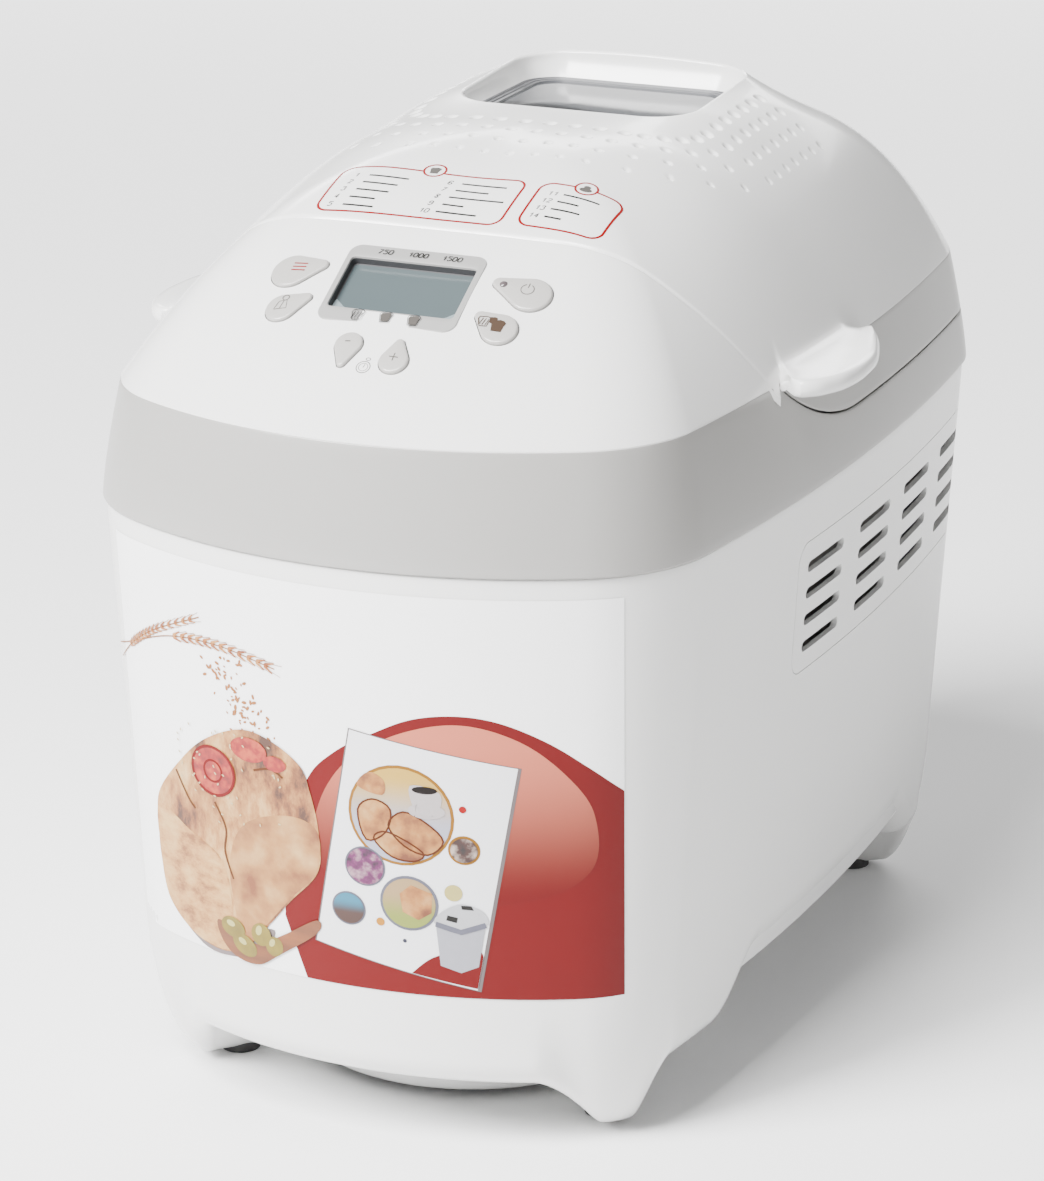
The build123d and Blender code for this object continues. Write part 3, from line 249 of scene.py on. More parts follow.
def wall_faces(rows, columns, closed_rows=False, closed_columns=True, flip=False):
    """Quads over a grid of rows and columns, either of which may close on itself."""
    r = np.arange(rows if closed_rows else rows - 1)
    c = np.arange(columns if closed_columns else columns - 1)
    r, c = np.meshgrid(r, c, indexing="ij")
    r2, c2 = (r + 1) % rows, (c + 1) % columns
    quads = np.stack([r * columns + c, r * columns + c2, r2 * columns + c2, r2 * columns + c], -1).reshape(
        -1, 4
    )
    return (quads[:, ::-1] if flip else quads).tolist()


def cut(made, *cutters):
    """Cuts closed meshes out of a piece, and throws the cutters away."""
    for cutter in cutters:
        step = made.modifiers.new("cut", "BOOLEAN")
        step.object, step.operation, step.solver = cutter, "DIFFERENCE", "EXACT"
        with bpy.context.temp_override(object=made, active_object=made):
            bpy.ops.object.modifier_apply(modifier=step.name)
        bpy.data.objects.remove(cutter)
    soften(made)


def prism(outline, axis_a, axis_b, axis_c, origin, low, high):
    """A closed bar: an outline in the plane of two axes, run from low to high along the third."""
    a, b, c, o = (np.array(v, float) for v in (axis_a, axis_b, axis_c, origin))
    flat = o + outline[:, :1] * a + outline[:, 1:2] * b
    points = np.concatenate([flat + c * low, flat + c * high])
    count = len(outline)
    faces = wall_faces(2, count) + [list(range(count))[::-1], list(range(count, 2 * count))]
    mesh = bpy.data.meshes.new("bar")
    mesh.from_pydata((points * MM).tolist(), [], faces)
    tidy = bmesh.new()
    tidy.from_mesh(mesh)
    bmesh.ops.recalc_face_normals(tidy, faces=tidy.faces)
    tidy.to_mesh(mesh)
    tidy.free()
    made = bpy.data.objects.new("bar", mesh)
    bpy.context.scene.collection.objects.link(made)
    return made


def rounded(half_a, half_b, corner, steps=10):
    """A rounded rectangle's points, anticlockwise."""
    turn = np.linspace(0, math.pi / 2, steps)
    arc = np.stack([np.cos(turn), np.sin(turn)], -1) * corner
    sides = []
    for quarter in range(4):
        c, s = round(math.cos(quarter * math.pi / 2)), round(math.sin(quarter * math.pi / 2))
        turned = arc @ np.array([[c, s], [-s, c]])
        sides.append(turned + np.sign(turned[steps // 2]) * (half_a - corner, half_b - corner))
    return np.concatenate(sides)


def wall_inset(z):
    return OVERHANG + (BAND_LOW - z) * DRAFT


FOOT_LOW = ((80.0, -127.0), (81.0, 158.0))
FOOT_R, FOOT_SPREAD = 11.0, 40.0
FOOT_FLOOR, FOOT_ROOF, FOOT_TURNS = 2.5, 44, (-42, 40)
WALL, LIP_STEP = 2.5, 0.4
SKIRT_ROWS = 34
SKIRT_TOP = 78.0
FRONT_LIP, SIDE_LIP = 27.0, 43.0
FRONT_CURL, SIDE_CURL = 13.0, 22.0
DEEP = 46.0


def lower_edge():
    """Rows of the housing below its straight wall: the curled lip, and the feet that swell out of it."""
    x, y = np.abs(OUTLINE[:, 0]), OUTLINE[:, 1]
    along = smooth(y, -100, -62) * (1 - smooth(y, 100, 138)) * smooth(x, 70, 118)
    lip = FRONT_LIP + (SIDE_LIP - FRONT_LIP) * along
    curl = FRONT_CURL + (SIDE_CURL - FRONT_CURL) * along
    foot = np.zeros(len(x))
    outer, inner, roof = (OUTLINE.copy() for _ in range(3))
    for centre, (foot_x, foot_y), turn in zip(CORNER_CENTRES, FOOT_LOW, FOOT_TURNS):
        for side in (1, -1):
            lean = math.radians(turn if side > 0 else 180 - turn)
            middle = np.array([side * foot_x, foot_y])
            aim = np.array([side * centre[0], centre[1]]) + 50 * np.array([math.cos(lean), math.sin(lean)])
            nearest = np.argmin(np.hypot(*(OUTLINE - aim).T))
            step = np.hypot(*np.diff(OUTLINE, axis=0, append=OUTLINE[:1]).T)
            run = np.cumsum(step) - step
            total = step.sum()
            away = (run - run[nearest] + total / 2) % total - total / 2
            share = np.clip(away / FOOT_SPREAD, -1, 1)
            near = np.abs(share) < 1
            weight = 1 - smooth(np.abs(share), 0.3, 1.0)
            foot = np.maximum(foot, np.where(near, weight, 0))
            swing = lean + share * math.pi / 2
            back = lean + math.pi - share * math.pi / 2
            reach = np.stack([np.cos(swing), np.sin(swing)], -1)
            behind = np.stack([np.cos(back), np.sin(back)], -1)
            outer[near] = (middle + FOOT_R * reach)[near]
            inner[near] = (middle + FOOT_R * behind)[near]
            roof[near] = (middle + (aim - middle) * 0.25 + 20 * behind)[near]
    w = foot[:, None]
    rows = []
    for t in np.linspace(0, 1, SKIRT_ROWS):
        bend = math.radians(90) * t
        straight = SKIRT_TOP - lip - curl
        travel = t * (straight + curl * math.pi / 2)
        turn = np.clip((travel - straight) / curl, 0, math.pi / 2)
        z = np.where(travel < straight, SKIRT_TOP - travel, lip + curl * (1 - np.sin(turn)))
        inset = wall_inset(np.maximum(z, lip + curl)) + np.where(
            travel < straight, 0, curl * (1 - np.cos(turn))
        )
        skirt = ring(inset, z)
        wall_end = OUTLINE - OUTWARD * wall_inset(SKIRT_TOP)
        sweep = 1 - math.cos(bend * 0.94)
        lowered = SKIRT_TOP - (SKIRT_TOP - FOOT_FLOOR) * math.sin(bend) ** 1.12
        lobe = np.column_stack([wall_end + (outer - wall_end) * sweep, np.full(len(x), lowered)])
        rows.append(skirt * (1 - w) + lobe * w)
    under = ring(wall_inset(lip + curl) + curl + 1.5, lip + LIP_STEP)
    pad = np.column_stack([inner, np.full(len(x), FOOT_FLOOR)])
    rows.append(under * (1 - w) + pad * w)
    for share in (0.35, 0.7, 1.0):
        lip_up = ring(wall_inset(lip + curl) + curl + 1.5 - share * (curl - WALL), lip + (DEEP - lip) * share)
        pad_up = np.column_stack(
            [inner + (roof - inner) * share, np.full(len(x), FOOT_FLOOR + (FOOT_ROOF - FOOT_FLOOR) * share)]
        )
        rows.append(lip_up * (1 - w) + pad_up * w)
    return rows


TOP_EASE, TOP_GAP = 0.8, 0.3
housing_rows = []
for bend in np.linspace(0, math.pi / 2, 4):
    z = BAND_LOW - TOP_GAP - TOP_EASE * (1 - math.sin(math.pi / 2 - bend))
    housing_rows.append(ring(wall_inset(z) + TOP_EASE * (1 - math.cos(math.pi / 2 - bend)), z))
for z in np.linspace(BAND_LOW - 4, SKIRT_TOP + 8, 12):
    housing_rows.append(ring(wall_inset(z), z))
housing_rows += lower_edge()
for z in (DEEP + 1, 120.0, 200.0, BAND_LOW - TOP_GAP):
    housing_rows.append(ring(wall_inset(z) + WALL, z))
white_gloss = moulded(
    "white_gloss", (0.68, 0.677, 0.668), (0.655, 0.652, 0.643), 0.2, Coat_Weight=0.15, Coat_Roughness=0.06
)
COLUMNS = len(OUTLINE)
housing = piece(
    "housing_shell",
    np.concatenate(housing_rows),
    wall_faces(len(housing_rows), COLUMNS, closed_rows=True, flip=True),
    "housing",
    white_gloss,
    ["lower_housing"],
)
GRILLE_Y, GRILLE_Z = (-53.0, 170.0), (162.5, 217.0)
GRILLE_GAP, GRILLE_CORNER = 0.35, 8.3
for side in (1, -1):
    opening = rounded(*((high - low) / 2 + GRILLE_GAP for low, high in (GRILLE_Y, GRILLE_Z)), GRILLE_CORNER)
    middle = (0, sum(GRILLE_Y) / 2, sum(GRILLE_Z) / 2)
    cut(housing, prism(opening, (0, 1, 0), (0, 0, 1), (side, 0, 0), middle, 60, 150))

# ---- Band: a satin warm-grey moulded ring that leans in as it rises. The lower part is fixed trim; behind
# the seam the upper part is the lid's rim, split off along a line that dips at the sides. The lid turns on
# a barrel at the rear, where the trim is relieved.
band_grey = moulded(
    "band_grey", (0.27, 0.264, 0.253), (0.26, 0.254, 0.243), 0.30, Coat_Weight=0.2, Coat_Roughness=0.2
)
LEAN, BAND_WALL = 8.2, 3.0
SPLIT, SPLIT_FLAT_Y, SEAM_END_Y = 260.0, 5.0, -66.0
SPLIT_GAP = 0.8
EDGE_EASE = 0.9


def band_inset(z):
    """How far the band leans in, a little fuller at mid height."""
    return LEAN * np.clip((z - BAND_LOW) / (BAND_TOP - BAND_LOW), 0, 1) ** 1.3


def split_height(y):
    """The split line's height: level towards the rear, then curving up to the seam."""
    rise, run = BAND_TOP - SPLIT, SPLIT_FLAT_Y - SEAM_END_Y
    radius = (run**2 + rise**2) / (2 * rise)
    fall = radius - np.sqrt(
        np.maximum(radius**2 - (SPLIT_FLAT_Y - np.clip(y, SEAM_END_Y, SPLIT_FLAT_Y)) ** 2, 0)
    )
    return np.where(y < SEAM_END_Y, BAND_TOP, SPLIT + fall)


def band_strip(low, high, ease_low, ease_high, steps=14):
    """Rows round a closed band wall from low to high, with both outer edges eased, then back up inside."""
    rows = []
    height = np.maximum(high - low, 0.02)
    ease_low, ease_high = np.minimum(ease_low, height / 3), np.minimum(ease_high, height / 3)
    for bend in np.linspace(0, math.pi / 2, 5):
        z = low + ease_low * (1 - math.sin(bend))
        rows.insert(0, (band_inset(z) + ease_low * (1 - math.cos(bend)), z))
    for share in np.linspace(0, 1, steps)[1:-1]:
        z = low + ease_low + (height - ease_low - ease_high) * share
        rows.append((band_inset(z), z))
    rows = sorted(rows, key=lambda row: float(np.mean(row[1])))
    for bend in np.linspace(0, math.pi / 2, 5):
        z = high - ease_high + ease_high * math.sin(bend)
        rows.append((band_inset(z) + ease_high * (1 - math.cos(bend)), z))
    rows.append((band_inset(high) + BAND_WALL, high + 0 * low))
    rows.append((band_inset(low) + BAND_WALL, low + 0 * high))
    return [ring(inset, z) for inset, z in rows]


line = split_height(OUTLINE[:, 1])
trim_high = np.minimum(line - SPLIT_GAP / 2, BAND_TOP - 0.1)
trim_rows = band_strip(np.full(COLUMNS, BAND_LOW), trim_high, EDGE_EASE, EDGE_EASE * 0.6)
trim = piece(
    "band_trim",
    np.concatenate(trim_rows),
    wall_faces(len(trim_rows), COLUMNS, closed_rows=True),
    "housing",
    band_grey,
    ["trim_band"],
)
HINGE_Y, HINGE_Z, HINGE_RELIEF, HINGE_HALF = 198.0, 259.8, 8.0, 77.0
BARREL_R, BARREL_HALF, BARREL_EASE = 4.6, 55.0, 0.8
BARREL_POINTS, BARREL_END_R = 48, 0.6
turn = np.linspace(0, 2 * math.pi, BARREL_POINTS, endpoint=False)
circle = np.stack([np.cos(turn), np.sin(turn)], -1)
hinge_middle = (0, HINGE_Y, HINGE_Z)
cut(
    trim, prism(circle * HINGE_RELIEF, (0, 1, 0), (0, 0, 1), (1, 0, 0), hinge_middle, -HINGE_HALF, HINGE_HALF)
)
barrel_rows = []
for x, radius in (
    (-BARREL_HALF, BARREL_END_R),
    (-BARREL_HALF, BARREL_R - BARREL_EASE),
    (-BARREL_HALF + BARREL_EASE, BARREL_R),
    (BARREL_HALF - BARREL_EASE, BARREL_R),
    (BARREL_HALF, BARREL_R - BARREL_EASE),
    (BARREL_HALF, BARREL_END_R),
):
    barrel_rows.append(np.column_stack([np.full(BARREL_POINTS, x), circle * radius + hinge_middle[1:]]))
last_ring = (len(barrel_rows) - 1) * BARREL_POINTS
barrel_ends = [list(range(BARREL_POINTS))[::-1], list(range(last_ring, last_ring + BARREL_POINTS))]
piece(
    "hinge_barrel",
    np.concatenate(barrel_rows),
    wall_faces(len(barrel_rows), BARREL_POINTS) + barrel_ends,
    "lid",
    band_grey,
)
behind = np.flatnonzero(OUTLINE[:, 1] > SEAM_END_Y + 1.5)
rim_rows = band_strip(
    line + SPLIT_GAP / 2, np.full(COLUMNS, BAND_TOP - 0.1), EDGE_EASE * 0.6, EDGE_EASE * 0.5
)
rim_points = np.concatenate([row[behind] for row in rim_rows])
rim_faces = wall_faces(len(rim_rows), len(behind), closed_rows=True, closed_columns=False)
rim_faces += [[r * len(behind) for r in range(len(rim_rows))][::-1]]
rim_faces += [[r * len(behind) + len(behind) - 1 for r in range(len(rim_rows))]]
piece("lid_band", rim_points, rim_faces, "lid", band_grey, ["lid_rim"])

# ---- Dome: one smooth form over the band, parted along the seam into the fixed control panel in front and
# the lid behind. Both are gloss white mouldings about 2.5 mm thick.
DOME_Y, DOME_RISE = -7.9, 79.0
POWERS = (2.0, 3.57, 4.76)
SEAM_Y, SEAM_HALF, SEAM_RISE = -105.0, 127.5, 38.0
SEAM_GAP = 0.5
dome_edge = OUTLINE - OUTWARD * (LEAN + 0.1)
bearing = np.arctan2(dome_edge[:, 1] - DOME_Y, dome_edge[:, 0])
order = np.argsort(bearing)
bearing_table = bearing[order]
radius_table = np.hypot(dome_edge[:, 0], dome_edge[:, 1] - DOME_Y)[order]


def dome_height(x, y):
    """Height of the dome over a place in plan; it falls away steeply beyond the band's top edge."""
    turn = np.arctan2(y - DOME_Y, x)
    reach = np.interp(turn, bearing_table, radius_table, period=2 * math.pi)
    share = np.hypot(x, y - DOME_Y) / reach
    end = np.sin(turn) ** 2
    power = np.where(y < DOME_Y, POWERS[0], POWERS[2]) * end + POWERS[1] * (1 - end)
    return BAND_TOP + DOME_RISE * (1 - share**power)


def seam_line(x):
    return SEAM_Y + SEAM_RISE * (np.abs(x) / SEAM_HALF) ** 4


front_half = [i for i in range(COLUMNS) if dome_edge[i, 1] < seam_line(dome_edge[i, 0])]
front_half = sorted(front_half, key=lambda i: dome_edge[i, 0] if dome_edge[i, 1] < -150 else math.copysign(
    400 + dome_edge[i, 1], dome_edge[i, 0]))
panel_front = dome_edge[front_half]
tip_x = SEAM_HALF - 0.4
tip = np.array([tip_x, seam_line(tip_x)])
panel_front = np.concatenate([[tip * (-1, 1)], panel_front, [tip]])
gauge = np.cumsum(np.r_[0, np.hypot(*np.diff(panel_front, axis=0).T)])
PANEL_COLUMNS = 420
spaced = np.linspace(0, 1, PANEL_COLUMNS)
panel_front = np.stack([np.interp(spaced * gauge[-1], gauge, panel_front[:, k]) for k in (0, 1)], -1)
seam_x = np.linspace(-tip_x, tip_x, 2001)
seam_points = np.stack([seam_x, seam_line(seam_x)], -1)
gauge = np.cumsum(np.r_[0, np.hypot(*np.diff(seam_points, axis=0).T)])
panel_back = np.stack([np.interp(spaced * gauge[-1], gauge, seam_points[:, k]) for k in (0, 1)], -1)
SEAM_EASE = 1.3
PANEL_ROWS = 110
run = panel_back - panel_front
length = np.maximum(np.hypot(*run.T), 1e-6)[:, None]
distances = [SEAM_EASE * k for k in (0.0, 0.08, 0.25, 0.5, 0.75, 1.0)]
flat_rows = [panel_front + run * np.clip(t, 0, 1) for t in np.linspace(0, 1, PANEL_ROWS)[:-2]]
flat_rows += [panel_back - run / length * np.minimum(d, length * 0.5) for d in distances[::-1]]
panel = np.array([np.column_stack([row, dome_height(row[:, 0], row[:, 1])]) for row in flat_rows])
fade = smooth(np.hypot(*run.T), 2.0, 20.0)
for k, d in enumerate(distances):
    panel[-1 - k, :, 2] -= fade * (SEAM_EASE - math.sqrt(max(SEAM_EASE**2 - (SEAM_EASE - d) ** 2, 0)))
wall_back = panel[-1] - np.column_stack([0 * fade, 0 * fade, 0.2 + 2.8 * fade])
wall_front = panel[0] - np.column_stack([0 * fade, 0 * fade, 0.2 + 1.0 * fade])
under = panel[1:-6:6][::-1] - [0, 0, WALL]
panel_rows = np.concatenate([panel, [wall_back], under, [wall_front]])
panel_piece = piece(
    "panel_skin",
    panel_rows.reshape(-1, 3),
    wall_faces(len(panel_rows), PANEL_COLUMNS, closed_rows=True, closed_columns=False)
    + [[r * PANEL_COLUMNS for r in range(len(panel_rows))][::-1]]
    + [[r * PANEL_COLUMNS + PANEL_COLUMNS - 1 for r in range(len(panel_rows))]],
    "housing",
    white_gloss,
    ["control_panel"],
)

# ---- Lid: the rear of the dome with a raised crater round its window, four rows of small dimples round
# that, and a finger grip flared out of each side.
WINDOW_Y, WINDOW_HALF, WINDOW_CORNER = 63.0, (52.0, 44.0), 20.0
RIM_FRONT, RIM_REAR = 364.4, 370.0
RIM_SPREAD = 34.0
LID_COLUMNS = 1200
around = np.linspace(0, 2 * math.pi, LID_COLUMNS, endpoint=False)
ray = np.stack([np.cos(around), np.sin(around)], -1)


def reach_to(points, centre):
    """Distance from a centre to a closed outline in every column's direction."""
    local = points - centre
    turn = np.arctan2(local[:, 1], local[:, 0]) % (2 * math.pi)
    place = np.argsort(turn)
    return np.interp(around, turn[place], np.hypot(*local[place].T), period=2 * math.pi)


def spaced_out(outline, count=1600):
    """A closed outline with evenly spaced points."""
    closed = np.concatenate([outline, outline[:1]])
    gauge = np.cumsum(np.r_[0, np.hypot(*np.diff(closed, axis=0).T)])
    place = np.linspace(0, gauge[-1], count, endpoint=False)
    return np.stack([np.interp(place, gauge, closed[:, k]) for k in (0, 1)], -1)


def window_distance(x, y):
    """Distance in plan outside the window's rounded rectangle."""
    qx, qy = np.abs(x) - (WINDOW_HALF[0] - WINDOW_CORNER), np.abs(y - WINDOW_Y) - (
        WINDOW_HALF[1] - WINDOW_CORNER
    )
    return np.hypot(np.maximum(qx, 0), np.maximum(qy, 0)) + np.minimum(np.maximum(qx, qy), 0) - WINDOW_CORNER


def crater(x, y):
    """Height that the window's rim adds over the dome, in a hollow flare."""
    arch = 1 - 0.55 * np.clip(np.abs(x) / 58.0, 0, 1) ** 2
    crest = RIM_FRONT + (RIM_REAR - RIM_FRONT) * smooth(y, WINDOW_Y - 50, WINDOW_Y + 44) * arch
    lift = np.maximum(crest - dome_height(x, y), 0)
    return lift * np.clip(1 - np.maximum(window_distance(x, y), 0) / RIM_SPREAD, 0, 1) ** 2.6


# Dimples stand in four loops round the front and sides of the window, which fan out from two corner centres.
DIMPLE_HUB = (37.5, 18.5)
DIMPLE_ROWS = ((25.0, 25.0, 2.9), (33.8, 38.5, 2.4), (42.7, 52.0, 2.0), (51.5, 65.5, 1.7))
DIMPLE_FRONT, DIMPLE_CORNER, DIMPLE_SIDE, DIMPLE_REAR = 8, 5, 7, 78.0
DIMPLE_DEPTH = 0.65
dimples = []
for wide, deep, size in DIMPLE_ROWS:
    for k in range(DIMPLE_FRONT):
        dimples.append(
            (-DIMPLE_HUB[0] + 2 * DIMPLE_HUB[0] * k / (DIMPLE_FRONT - 1), DIMPLE_HUB[1] - deep, size)
        )
    for side in (1, -1):
        for k in range(1, DIMPLE_CORNER + 1):
            turn = math.pi / 2 * k / DIMPLE_CORNER
            dimples.append(
                (side * (DIMPLE_HUB[0] + wide * math.sin(turn)), DIMPLE_HUB[1] - deep * math.cos(turn), size)
            )
        for k in range(1, DIMPLE_SIDE):
            y = DIMPLE_HUB[1] + (DIMPLE_REAR - DIMPLE_HUB[1]) * k / (DIMPLE_SIDE - 1)
            dimples.append((side * (DIMPLE_HUB[0] + wide), y, size))


def lid_height(x, y):
    z = dome_height(x, y) + crater(x, y)
    for spot_x, spot_y, size in dimples:
        away = ((x - spot_x) ** 2 + (y - spot_y) ** 2) / size**2
        near = away < 1
        z = np.where(near, z - DIMPLE_DEPTH * size * (1 - np.where(near, away, 0)) ** 1.5, z)
    return z


centre = np.array([0, WINDOW_Y])
dense_seam = seam_points[(seam_points[:, 1] < -60)] + [0, SEAM_GAP]
rear_half = dome_edge[dome_edge[:, 1] > seam_line(dome_edge[:, 0]) + SEAM_GAP]
lid_reach = reach_to(np.concatenate([rear_half, dense_seam]), centre)
window_reach = reach_to(spaced_out(rounded(*WINDOW_HALF, WINDOW_CORNER, 60)) + centre, centre)
lid_edge = centre + ray * lid_reach[:, None]
# The grip's outer edge, from the seam's end round to where it runs back into the lid.
GRIP_EDGE = np.array(
    [
        (128.4, -62), (131, -68), (136, -71), (142, -66), (147.5, -55), (149.3, -41), (148, -20), (141, 1),
        (131.5, 22),
    ]
)
GRIP_TOP, GRIP_THICK, GRIP_BLEND = 290.0, 4.2, 6.0
GRIP_FRONT_Y, GRIP_REAR_Y = -62.0, 22.0
fine = np.linspace(0, len(GRIP_EDGE) - 1, 200)
grip_edge = np.stack([np.interp(fine, range(len(GRIP_EDGE)), GRIP_EDGE[:, k]) for k in (0, 1)], -1)
for _ in range(60):
    grip_edge[1:-1] = (grip_edge[:-2] + 2 * grip_edge[1:-1] + grip_edge[2:]) / 4
gauge = np.cumsum(np.r_[0, np.hypot(*np.diff(grip_edge, axis=0).T)])
gauge /= gauge[-1]
target = lid_edge.copy()
on_side = (np.abs(lid_edge[:, 0]) > 110) & (lid_edge[:, 1] < GRIP_REAR_Y) & (lid_edge[:, 1] > GRIP_FRONT_Y)
share = np.clip((lid_edge[on_side, 1] - GRIP_FRONT_Y) / (GRIP_REAR_Y - GRIP_FRONT_Y), 0, 1) ** 0.8
target[on_side] = np.stack([np.interp(share, gauge, grip_edge[:, k]) for k in (0, 1)], -1)
target[on_side, 0] *= np.sign(lid_edge[on_side, 0])
out = target - lid_edge
reach = np.hypot(*out.T)
flare = smooth(reach, 0.0, 13.0)
ROOT = BAND_TOP - 3.0
tongue = ROOT + (GRIP_TOP - ROOT) * flare


def larger(a, b, blend):
    """The larger of two heights, blended where they are close."""
    return 0.5 * (a + b + np.sqrt((a - b) ** 2 + blend**2))


NEAR_ROWS, FAR_ROWS, NEAR_SPAN = 110, 90, 62.0
lid_rows = []
span = lid_reach - window_reach
near_span = np.minimum(NEAR_SPAN, span * 0.6)
for t in np.linspace(0, 1, NEAR_ROWS, endpoint=False):
    lid_rows.append(centre + ray * (window_reach + near_span * t)[:, None])
for t in np.linspace(0, 1, FAR_ROWS):
    lid_rows.append(centre + ray * (window_reach + near_span + (span - near_span) * t**0.8)[:, None])
lid = np.array([np.column_stack([row, lid_height(row[:, 0], row[:, 1])]) for row in lid_rows])
inland = np.hypot(lid[:, :, 0] - lid_edge[:, 0], lid[:, :, 1] - lid_edge[:, 1])
raised = larger(lid[:, :, 2], tongue - 0.25 * inland, GRIP_BLEND * flare + 0.01) - lid[:, :, 2]
lid[:, :, 2] += raised * smooth(14 - inland, 0, 13) * (flare > 0)
on_seam = (lid_edge[:, 1] < -62) & (np.abs(lid_edge[:, 0]) < 126.5)
rounding = SEAM_EASE - np.sqrt(np.maximum(SEAM_EASE**2 - np.maximum(SEAM_EASE - inland, 0) ** 2, 0))
lid[:, :, 2] -= rounding * on_seam
root_z = lid[-1, :, 2]
grip_rows = []
for t in np.linspace(0, 1, 12)[1:]:
    z = root_z + (GRIP_TOP - 0.4 - root_z) * smooth(t, -0.3, 1.0) * (flare > 0) * smooth(flare, 0, 0.6)
    grip_rows.append(np.column_stack([lid_edge + out * t, z]))
outward = out / np.maximum(reach, 1e-6)[:, None]
half = GRIP_THICK / 2 * flare
rim_z = grip_rows[-1][:, 2]
tuck = []
for t in np.linspace(0, math.pi, 9)[1:]:
    swell = (half * math.sin(t))[:, None] * outward
    tuck.append(np.column_stack([target + swell, rim_z - half * (1 - math.cos(t)) - 0.8 * t]))
back_in = np.column_stack([lid_edge - ray * 1.8, tuck[-1][:, 2]])
under_lid = np.array(
    [np.column_stack([row, lid_height(row[:, 0], row[:, 1]) - WALL]) for row in lid_rows[::-1][8::12]]
)
WELL_FLOOR, WELL_TAPER, CREST = 357.5, 4.0, 1.5
inner_z = lid[0, :, 2]
lip = centre + ray * window_reach[:, None]
slope = [
    window_distance(lip[:, 0] + dx, lip[:, 1] + dy) for dx, dy in ((0.1, 0), (-0.1, 0), (0, 0.1), (0, -0.1))
]
lip_out = np.stack([slope[0] - slope[1], slope[2] - slope[3]], -1)
lip_out /= np.hypot(*lip_out.T)[:, None]
well = []
for t in np.linspace(0, math.pi / 2, 7)[1:]:
    flat = lip - lip_out * CREST * math.sin(t)
    well.append(np.column_stack([flat, inner_z - CREST * (1 - math.cos(t))]))
for t in np.linspace(0, 1, 8)[1:]:
    flat = lip - lip_out * (CREST + WELL_TAPER * t**1.5)
    well.append(np.column_stack([flat, inner_z - CREST + (WELL_FLOOR - inner_z + CREST) * t]))
lid_all = np.concatenate([np.array(well[::-1]), lid, grip_rows, tuck, [back_in], under_lid])
piece(
    "lid_dome",
    lid_all.reshape(-1, 3),
    wall_faces(len(lid_all), LID_COLUMNS, closed_rows=True),
    "lid",
    white_gloss,
    ["lid_shell"],
)

# ---- Window: a dark grey moulded frame with two fine steps, bonded round a smoked toughened pane. The pane
# lies a few millimetres below the rim.
FRAME_Z = 358.2
PANE_DROP = 1.0
window_grey = moulded("window_grey", (0.075, 0.077, 0.083), (0.065, 0.067, 0.073), 0.4)
frame_half = (WINDOW_HALF[0] - CREST - WELL_TAPER + 0.8, WINDOW_HALF[1] - CREST - WELL_TAPER + 0.8)
FRAME_STEPS = (
    (0, -2.0), (0, 0), (1.6, 0.1), (1.9, -0.4), (2.3, -0.4), (2.6, 0), (3.9, 0), (4.2, -0.5), (4.6, -0.5)
)
FRAME_STEPS += ((4.9, -0.1), (6.0, -0.3), (6.2, -0.9), (6.2, -2.6))
frame_rows = []
for inset, lift in FRAME_STEPS:
    flat = rounded(
        frame_half[0] - inset,
        frame_half[1] - inset,
        max(WINDOW_CORNER - 4.3 - inset, 6.0),
        24,
    ) + centre
    frame_rows.append(np.column_stack([flat, np.full(len(flat), FRAME_Z + lift)]))
count = len(frame_rows[0])
piece(
    "window_frame",
    np.concatenate(frame_rows),
    wall_faces(len(frame_rows), count, closed_rows=True),
    "lid",
    window_grey,
)


def pane_painted_reflection(place):
    """Painted reflection: the pane's colour is paler towards the rear, where the room's reflection is painted
    in, with a soft wave where it ends.
    """
    split = place.node("SeparateXYZ", None, {"Vector": place})
    across, along = Wire(place.tree, split.socket.node.outputs[0]), Wire(
        place.tree, split.socket.node.outputs[1]
    )
    wave = along + 0.005 * (across * 50.0).maths("SINE", across * 50.0)
    return wave.between(0.048, 0.052).tint((0.020, 0.021, 0.023), (0.075, 0.078, 0.084))


# The smoked pane's colour carries a painted reflection of the room over its rear part.
pane_glass = finish(
    "smoked_pane_painted_reflection", pane_painted_reflection, lambda place: 0.06 + 0.03 * place.noise(30.0), Specular_IOR_Level=0.25
)
PANE_HALF = (frame_half[0] - 5.6, frame_half[1] - 5.6)
pane_rows = []
for inset, lift in ((0, -3.4), (0, -0.3), (0.3, 0), (8, 0.15), (20, 0.25), (PANE_HALF[1] - 1.0, 0.3)):
    flat = rounded(PANE_HALF[0] - inset, PANE_HALF[1] - inset, max(11.0 - inset, 0.5), 24) + centre
    pane_rows.append(np.column_stack([flat, np.full(len(flat), FRAME_Z - PANE_DROP + lift)]))
count = len(pane_rows[0])
pane_faces = wall_faces(len(pane_rows), count) + [
    list(range((len(pane_rows) - 1) * count, len(pane_rows) * count))
]
pane_faces += [list(range(count))[::-1]]
piece("window_pane", np.concatenate(pane_rows), pane_faces, "lid", pane_glass, ["lid_window"])

# ---- Control face: a silver-grey display frame, six drop-shaped push buttons in grey-beige and pad-printed
# marks, all following the panel's curve. The buttons stand in close-cut openings.
FACE_TILT = math.radians(26)
FACE_ORIGIN = np.array([0, -135.4, 327.9])
FACE_X, FACE_Y = np.array([1.0, 0, 0]), np.array([0, math.cos(FACE_TILT), math.sin(FACE_TILT)])
FACE_OUT = np.array([0, -math.sin(FACE_TILT), math.cos(FACE_TILT)])


def on_face(flat, lift):
    """Places over the panel's surface, from places in the control face's plane."""
    base = FACE_ORIGIN + flat[:, :1] * FACE_X + flat[:, 1:2] * FACE_Y
    out = np.zeros(len(flat))
    for _ in range(12):
        points = base + out[:, None] * FACE_OUT
        out += (dome_height(points[:, 0], points[:, 1]) - points[:, 2]) * FACE_OUT[2]
    return base + (out + lift)[:, None] * FACE_OUT


